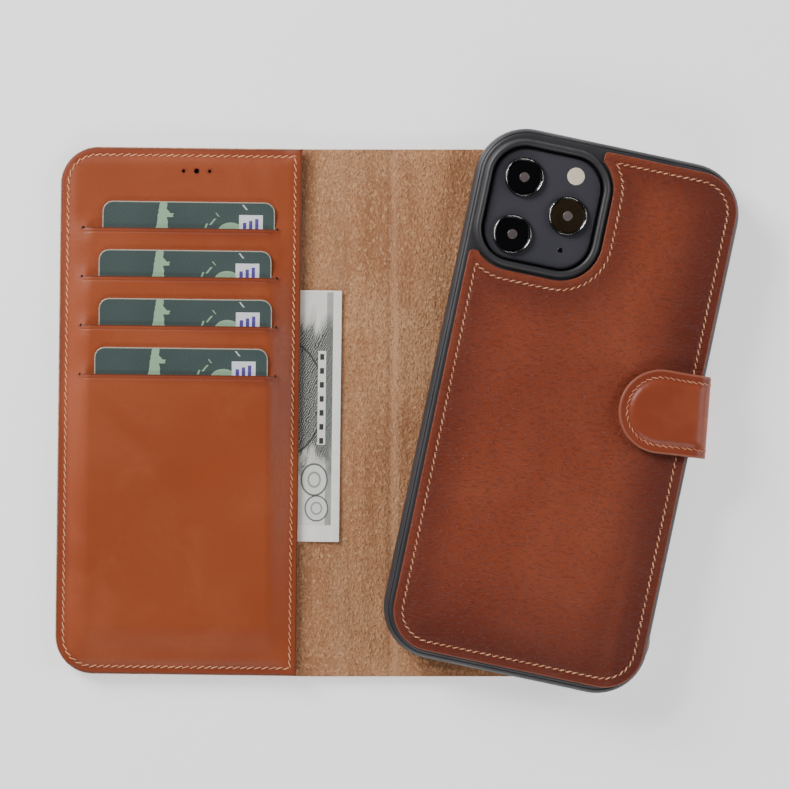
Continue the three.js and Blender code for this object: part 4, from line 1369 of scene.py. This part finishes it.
CASE_HALF_X, CASE_HALF_Y = SHELL_HIGH[0], SHELL_HIGH[1]
BUTTONS = ("side_button", "volume_up_button", "volume_down_button")
BUTTON_CORNER = 1.9
RIM_PROFILE = [                     # (distance from the window, height)
    (0.0, 8.6), (0.0, RIM_HEIGHT - 0.9), (0.12, RIM_HEIGHT - 0.4), (0.45, RIM_HEIGHT - 0.08), (0.9, RIM_HEIGHT),
    (1.25, RIM_HEIGHT - 0.06), (1.65, RIM_HEIGHT - 0.35), (1.95, RIM_HEIGHT - 0.85), (2.15, RIM_HEIGHT - 1.4),
    (2.6, RIM_HEIGHT - 1.75), (2.75, 8.6),
]
PORT_HALF, PORT_LOW, PORT_HIGH, PORT_CORNER = 23, 2.0, 7.4, 2.6
SHELL_PROFILE = [                   # (distance in from the case's side, height)
    (30.0, 8.2), (3.0, 8.2), (2.82, 8.0), (2.82, 0.9), (2.9, 0.72), (4.15, 0.66), (4.3, 0.45), (4.15, 0.2),
    (3.4, 0.04), (2.4, 0.0), (1.3, 0.12), (0.6, 0.55), (0.18, 1.4), (0.0, 2.6), (0.0, 5.2), (0.06, 6.6),
    (0.3, 7.8), (0.75, 8.7), (1.2, 9.2), (1.45, 9.36), (1.58, 9.26), (1.72, 9.24), (1.86, 9.44), (2.1, 9.62),
    (2.6, 9.7), (4.0, 9.72), (30.0, 9.72),
]


def case_ring(inset):
    return ring_points(-CASE_HALF_X, -CASE_HALF_Y, CASE_HALF_X, CASE_HALF_Y, CASE_CORNER, inset)


def build_shell():
    rings = [(case_ring(inset), height) for inset, height in SHELL_PROFILE]
    shell = loft("soft_case_shell", rings, SHELL, CASE)
    window = (PLATEAU_LOW[0] - RIM_GAP, PLATEAU_LOW[1] - RIM_GAP, PLATEAU_HIGH[0] + RIM_GAP,
              PLATEAU_HIGH[1] + RIM_GAP, PLATEAU_CORNER + RIM_GAP)
    cutters = [loft("cutter", [(ring_points(*window, -0.3), height) for height in (6.0, 12.0)], SHELL, CASE)]
    for node, grow in (*((button, 0.3) for button in BUTTONS), ("ring_switch", 1.2)):
        low, high = CASE.local_box(node)
        y0, y1, z0, z1 = low[1] - grow * 1.3, high[1] + grow * 1.3, low[2] - grow, high[2] + grow
        outline = rounded(y0, z0, y1, z1, *[min(BUTTON_CORNER, (z1 - z0) / 2 - 0.05)] * 4)
        outward = 1 if high[0] > 0 else -1
        cutters.append(prism(outline, outward * 37.0, outward * (CASE_HALF_X + 3), lambda x, y, z: (x, y, z)))
    port = rounded(-PORT_HALF, PORT_LOW, PORT_HALF, PORT_HIGH, *[PORT_CORNER] * 4)
    cutters.append(prism(port, -CASE_HALF_Y + 5, -CASE_HALF_Y - 3, lambda y, x, z: (x, y, z)))
    for cutter in cutters:
        cut(shell, cutter)
    set_rest(shell, CASE)
    smooth_by_angle(shell, 35)
    belongs(shell, "phone_case", "shell", "case_shell")
    rim_rings = [(ring_points(*window, -inset), height) for inset, height in RIM_PROFILE]
    rim = loft("camera_rim", rim_rings, SHELL, CASE, closed=True)
    belongs(rim, "phone_case", "shell")
    for node in BUTTONS:
        belongs(bevelled_copy(node, f"{node}_cap", SHELL, 0.7, 4), node, "shell", node)
    toggle = bevelled_copy("ring_switch", "ring_switch_toggle", PHONE_METAL, 0.25, 3)
    belongs(toggle, "ring_switch", "phone_metal", "ring_switch")


def back_outline():
    """The leather back: a rounded rectangle with a notch that runs round the camera rim."""
    left, bottom, right, top = BACK_LOW[0], BACK_LOW[1], BACK_HIGH[0], BACK_HIGH[1]
    corner = 12.5
    clear = RIM_GAP + RIM_WALL + 0.9
    radius = PLATEAU_CORNER + clear
    rim_right = PLATEAU_HIGH[0] + clear
    rim_bottom = PLATEAU_LOW[1] - clear
    upper_centre = (rim_right - radius, PLATEAU_HIGH[1] + clear - radius)
    lower_centre = (rim_right - radius, rim_bottom + radius)
    left_centre = (PLATEAU_LOW[0] - clear + radius, rim_bottom + radius)
    tip_x = PLATEAU_HIGH[0] - 1.4
    tip_y = PLATEAU_LOW[1] + 0.6
    tip_radius = 1.3
    turn_in = math.degrees(math.acos((tip_x - upper_centre[0]) / radius))
    drop = math.degrees(math.asin((left_centre[1] - tip_y) / radius))
    parts = [
        arc(left + corner, bottom + corner, corner, 180, 270),
        arc(right - corner, bottom + corner, corner, 270, 360),
        arc(right - corner, top - corner, corner, 0, 90),
        arc(tip_x + tip_radius, top - tip_radius, tip_radius, 90, 180, 0.3),
        arc(*upper_centre, radius, turn_in, 0),
        arc(*lower_centre, radius, 0, -90),
        arc(*left_centre, radius, -90, -180 + drop),
        arc(left + tip_radius, tip_y - tip_radius, tip_radius, 90, 180, 0.3),
    ]
    return np.concatenate(parts)


BACK_SEAM = 2.9


def back_surface(flat, distance):
    """Leather back: a pressed stitch line near the border and a slight crown inside it."""
    crown = 0.12 * smooth((distance - 3.0) / 12.0)
    return BACK_HIGH[2] - 0.1 + crown - groove(distance, BACK_SEAM, 0.7, 0.22)


def build_case_back():
    loop = back_outline()
    back = sheet("case_back_panel", loop, CASE_LEATHER, CASE, back_surface, flat_at(BACK_LOW[2]), 0.42, 1.6,
                 step=0.9, rings=(0.9, 1.6, 2.2, 2.6, 2.9, 3.2, 3.7, 4.4))
    belongs(back, "phone_case", "case_leather", "case_back_leather")
    fine = resample(loop, 0.5)
    path = inward(fine, BACK_SEAM)
    path = path[(loop_distance(path, fine) > BACK_SEAM * 0.96) & inside(path, fine)]

    def height(flat):
        return back_surface(flat, loop_distance(flat, fine))

    row = stitches("case_back_stitching", path, THREAD, CASE, 2.1, height, closed=True, radius=0.21, slant=0.1,
                   length=0.66, tick=0.4)
    belongs(row, "phone_case", "case_leather")


# ---- camera ----------------------------------------------------------------------------------
def round_node(node):
    """Centre, radius and top of a round CAD node."""
    low, high = CASE.local_box(node)
    return (low[0] + high[0]) / 2, (low[1] + high[1]) / 2, (high[0] - low[0]) / 2, high[2]


def build_lens(number):
    x, y, outer, top = round_node(f"lens_ring_{number}")
    base = PLATEAU_HIGH[2] - 0.05
    edge = outer - 0.62
    parts = (
        ("barrel", LENS_BARREL, 64, "lens_ring", [
            (outer, base - top), (outer, -0.35), (outer - 0.08, -0.12), (outer - 0.2, -0.04), (outer - 0.32, -0.08),
            (outer - 0.32, base - top)]),
        ("trim", LENS_TRIM, 64, "lens_ring", [
            (outer - 0.34, base - top + 0.1), (outer - 0.34, -0.03), (outer - 0.42, 0), (outer - 0.54, -0.06),
            (outer - 0.6, -0.2), (outer - 0.6, base - top + 0.1)]),
        # The third lens's glass carries the painted amber flare reflection.
        ("front", LENS_FLARE_GLASS if number == 3 else DARK_GLASS, 64, "dark_glass", [
            (0, base - top), (edge, base - top), (edge, -0.5), (edge - 0.5, -0.38), (3.4, -0.36), (3.2, -0.42),
            (2.3, -0.4), (2.1, -0.44), (0, -0.44)]),
        ("iris", LENS_IRIS, 40, "dark_glass", [
            (0, -0.42), (1.5, -0.42), (1.5, -0.38), (1.25, -0.33), (1.05, -0.37), (0.8, -0.33), (0.6, -0.36),
            (0.4, -0.3), (0, -0.27)]),
    )
    stands_for = {"barrel": [f"lens_ring_{number}"], "front": [f"lens_glass_{number}"]}
    for part, material, sides, slot, profile in parts:
        raised = [(radius, top + height) for radius, height in profile]
        piece = lathe(f"lens_{part}_{number}", raised, material, CASE, x, y, sides)
        belongs(piece, "phone_case", slot, *stands_for.get(part, []))


def build_camera():
    loop = rounded(*PLATEAU_LOW[:2], *PLATEAU_HIGH[:2], *[PLATEAU_CORNER] * 4)
    top, bottom = flat_at(PLATEAU_HIGH[2]), flat_at(PLATEAU_LOW[2])
    plate = sheet("camera_plate_glass", loop, CAMERA_PLATE, CASE, top, bottom, 0.9, 3.0)
    belongs(plate, "phone_case", "camera_plate", "camera_plateau")
    for number in (1, 2, 3):
        build_lens(number)
    base = PLATEAU_HIGH[2] - 0.1
    windows = (("camera_flash", "flash_window", FLASH_LENS, "flash", 0.2),
               ("microphone_grille", "microphone_mesh", DARK_GLASS, "dark_glass", 0.12))
    for node, name, material, slot, rise in windows:
        x, y, radius, _ = round_node(node)
        profile = [(0, base), (radius, base), (radius, base + rise - 0.05), (radius - 0.15, base + rise),
                   (radius * 0.6, base + rise + 0.04), (0, base + rise + 0.05)]
        belongs(lathe(name, profile, material, CASE, x, y, 48), "phone_case", slot, node)


# ---- hidden CAD pieces keep their shapes and take finished materials -----------------------------
def finish_cad_nodes():
    """Materials of the CAD nodes that are shown as they are."""
    looks = {
        "rear_stiffener_board": BOARD, "front_stiffener_board": BOARD, "front_closure_plate": PLATED_STEEL,
        "strap_magnet": PLATED_STEEL, "case_steel_plate": PLATED_STEEL, "phone_body": PHONE_METAL,
        "phone_screen": PHONE_GLASS,
    }
    for number in range(1, 5):
        looks[f"rear_magnet_{number}"] = PLATED_STEEL
    for number in range(1, 4):
        looks[f"pocket_divider_{number}"] = DIVIDER_CLOTH
    for node, material in looks.items():
        piece = frame["nodes"][node]
        piece.data.materials.clear()
        piece.data.materials.append(material)


# ---- floor, lights and camera ------------------------------------------------------------------
FLOOR_HALF = 3.0
FLOOR_Z = -0.0004                   # just under the folio, in metres


def build_stage():
    floor = bpy.data.meshes.new("floor")
    corners = [(x * FLOOR_HALF, y * FLOOR_HALF, FLOOR_Z) for x, y in ((-1, -1), (1, -1), (1, 1), (-1, 1))]
    floor.from_pydata(corners, [], [(0, 1, 2, 3)])
    surface = Look("floor_white", 0.9)
    surface.colour((0.92, 0.92, 0.92))
    surface.shader.inputs["Emission Color"].default_value = (1, 1, 1, 1)
    surface.shader.inputs["Emission Strength"].default_value = 0.7
    floor.materials.append(surface.material)
    add_object("floor", floor)
    world = bpy.data.worlds.new("studio")
    world.use_nodes = True
    nodes, links = world.node_tree.nodes, world.node_tree.links
    direction = nodes.new("ShaderNodeTexCoord")
    split = nodes.new("ShaderNodeSeparateXYZ")
    ramp = nodes.new("ShaderNodeMapRange")
    ramp.interpolation_type = "SMOOTHSTEP"
    for key, value in (("From Min", 0.35), ("From Max", 0.8), ("To Min", 0.85), ("To Max", 0.11)):
        ramp.inputs[key].default_value = value
    links.new(direction.outputs["Generated"], split.inputs["Vector"])
    links.new(split.outputs["Z"], ramp.inputs["Value"])
    links.new(ramp.outputs["Result"], nodes["Background"].inputs[1])
    bpy.context.scene.world = world


def area_light(name, place, target, size, power):
    lamp = bpy.data.lights.new(name, "AREA")
    lamp.shape = "RECTANGLE"
    lamp.size, lamp.size_y = size
    lamp.energy = power
    holder = add_object(name, lamp)
    holder.location = place
    holder.rotation_euler = (target - Vector(place)).to_track_quat("-Z", "Y").to_euler()


VIEW_HEIGHT = 0.62
TABLE_FACE = 0.003                  # height of the folio's upper face, where the picture's scale holds
SHOWN_WIDTH = 789 / 3.18 * MM       # the frame's width in pixels over its pixels per millimetre


def build_camera_and_lights():
    camera = bpy.data.cameras.new("camera")
    camera.sensor_width = 36
    camera.lens = camera.sensor_width * (VIEW_HEIGHT - TABLE_FACE) / SHOWN_WIDTH
    camera.clip_start = 0.01
    holder = add_object("camera", camera)
    holder.location = (REAR_FOLD[0] * MM + 0.0035, 0.0058, VIEW_HEIGHT)
    bpy.context.scene.camera = holder
    middle = (Vector(cad_bounds[0]) + Vector(cad_bounds[1])) / 2
    area_light("key", (-0.74, 0.64, 0.52), middle, (0.5, 0.5), 16.5)
    area_light("fill", (0.9, 0.1, 0.5), middle, (0.6, 0.6), 6.5)
    area_light("front", (-0.1, -0.9, 0.55), middle, (0.8, 0.3), 5.5)


build_stage()
build_camera_and_lights()
build_folio()
build_outer_seam()
build_panel()
build_panel_stitches()
build_holes()
build_backing()
build_cards()
build_note()
build_strap()
build_shell()
build_case_back()
build_camera()
finish_cad_nodes()
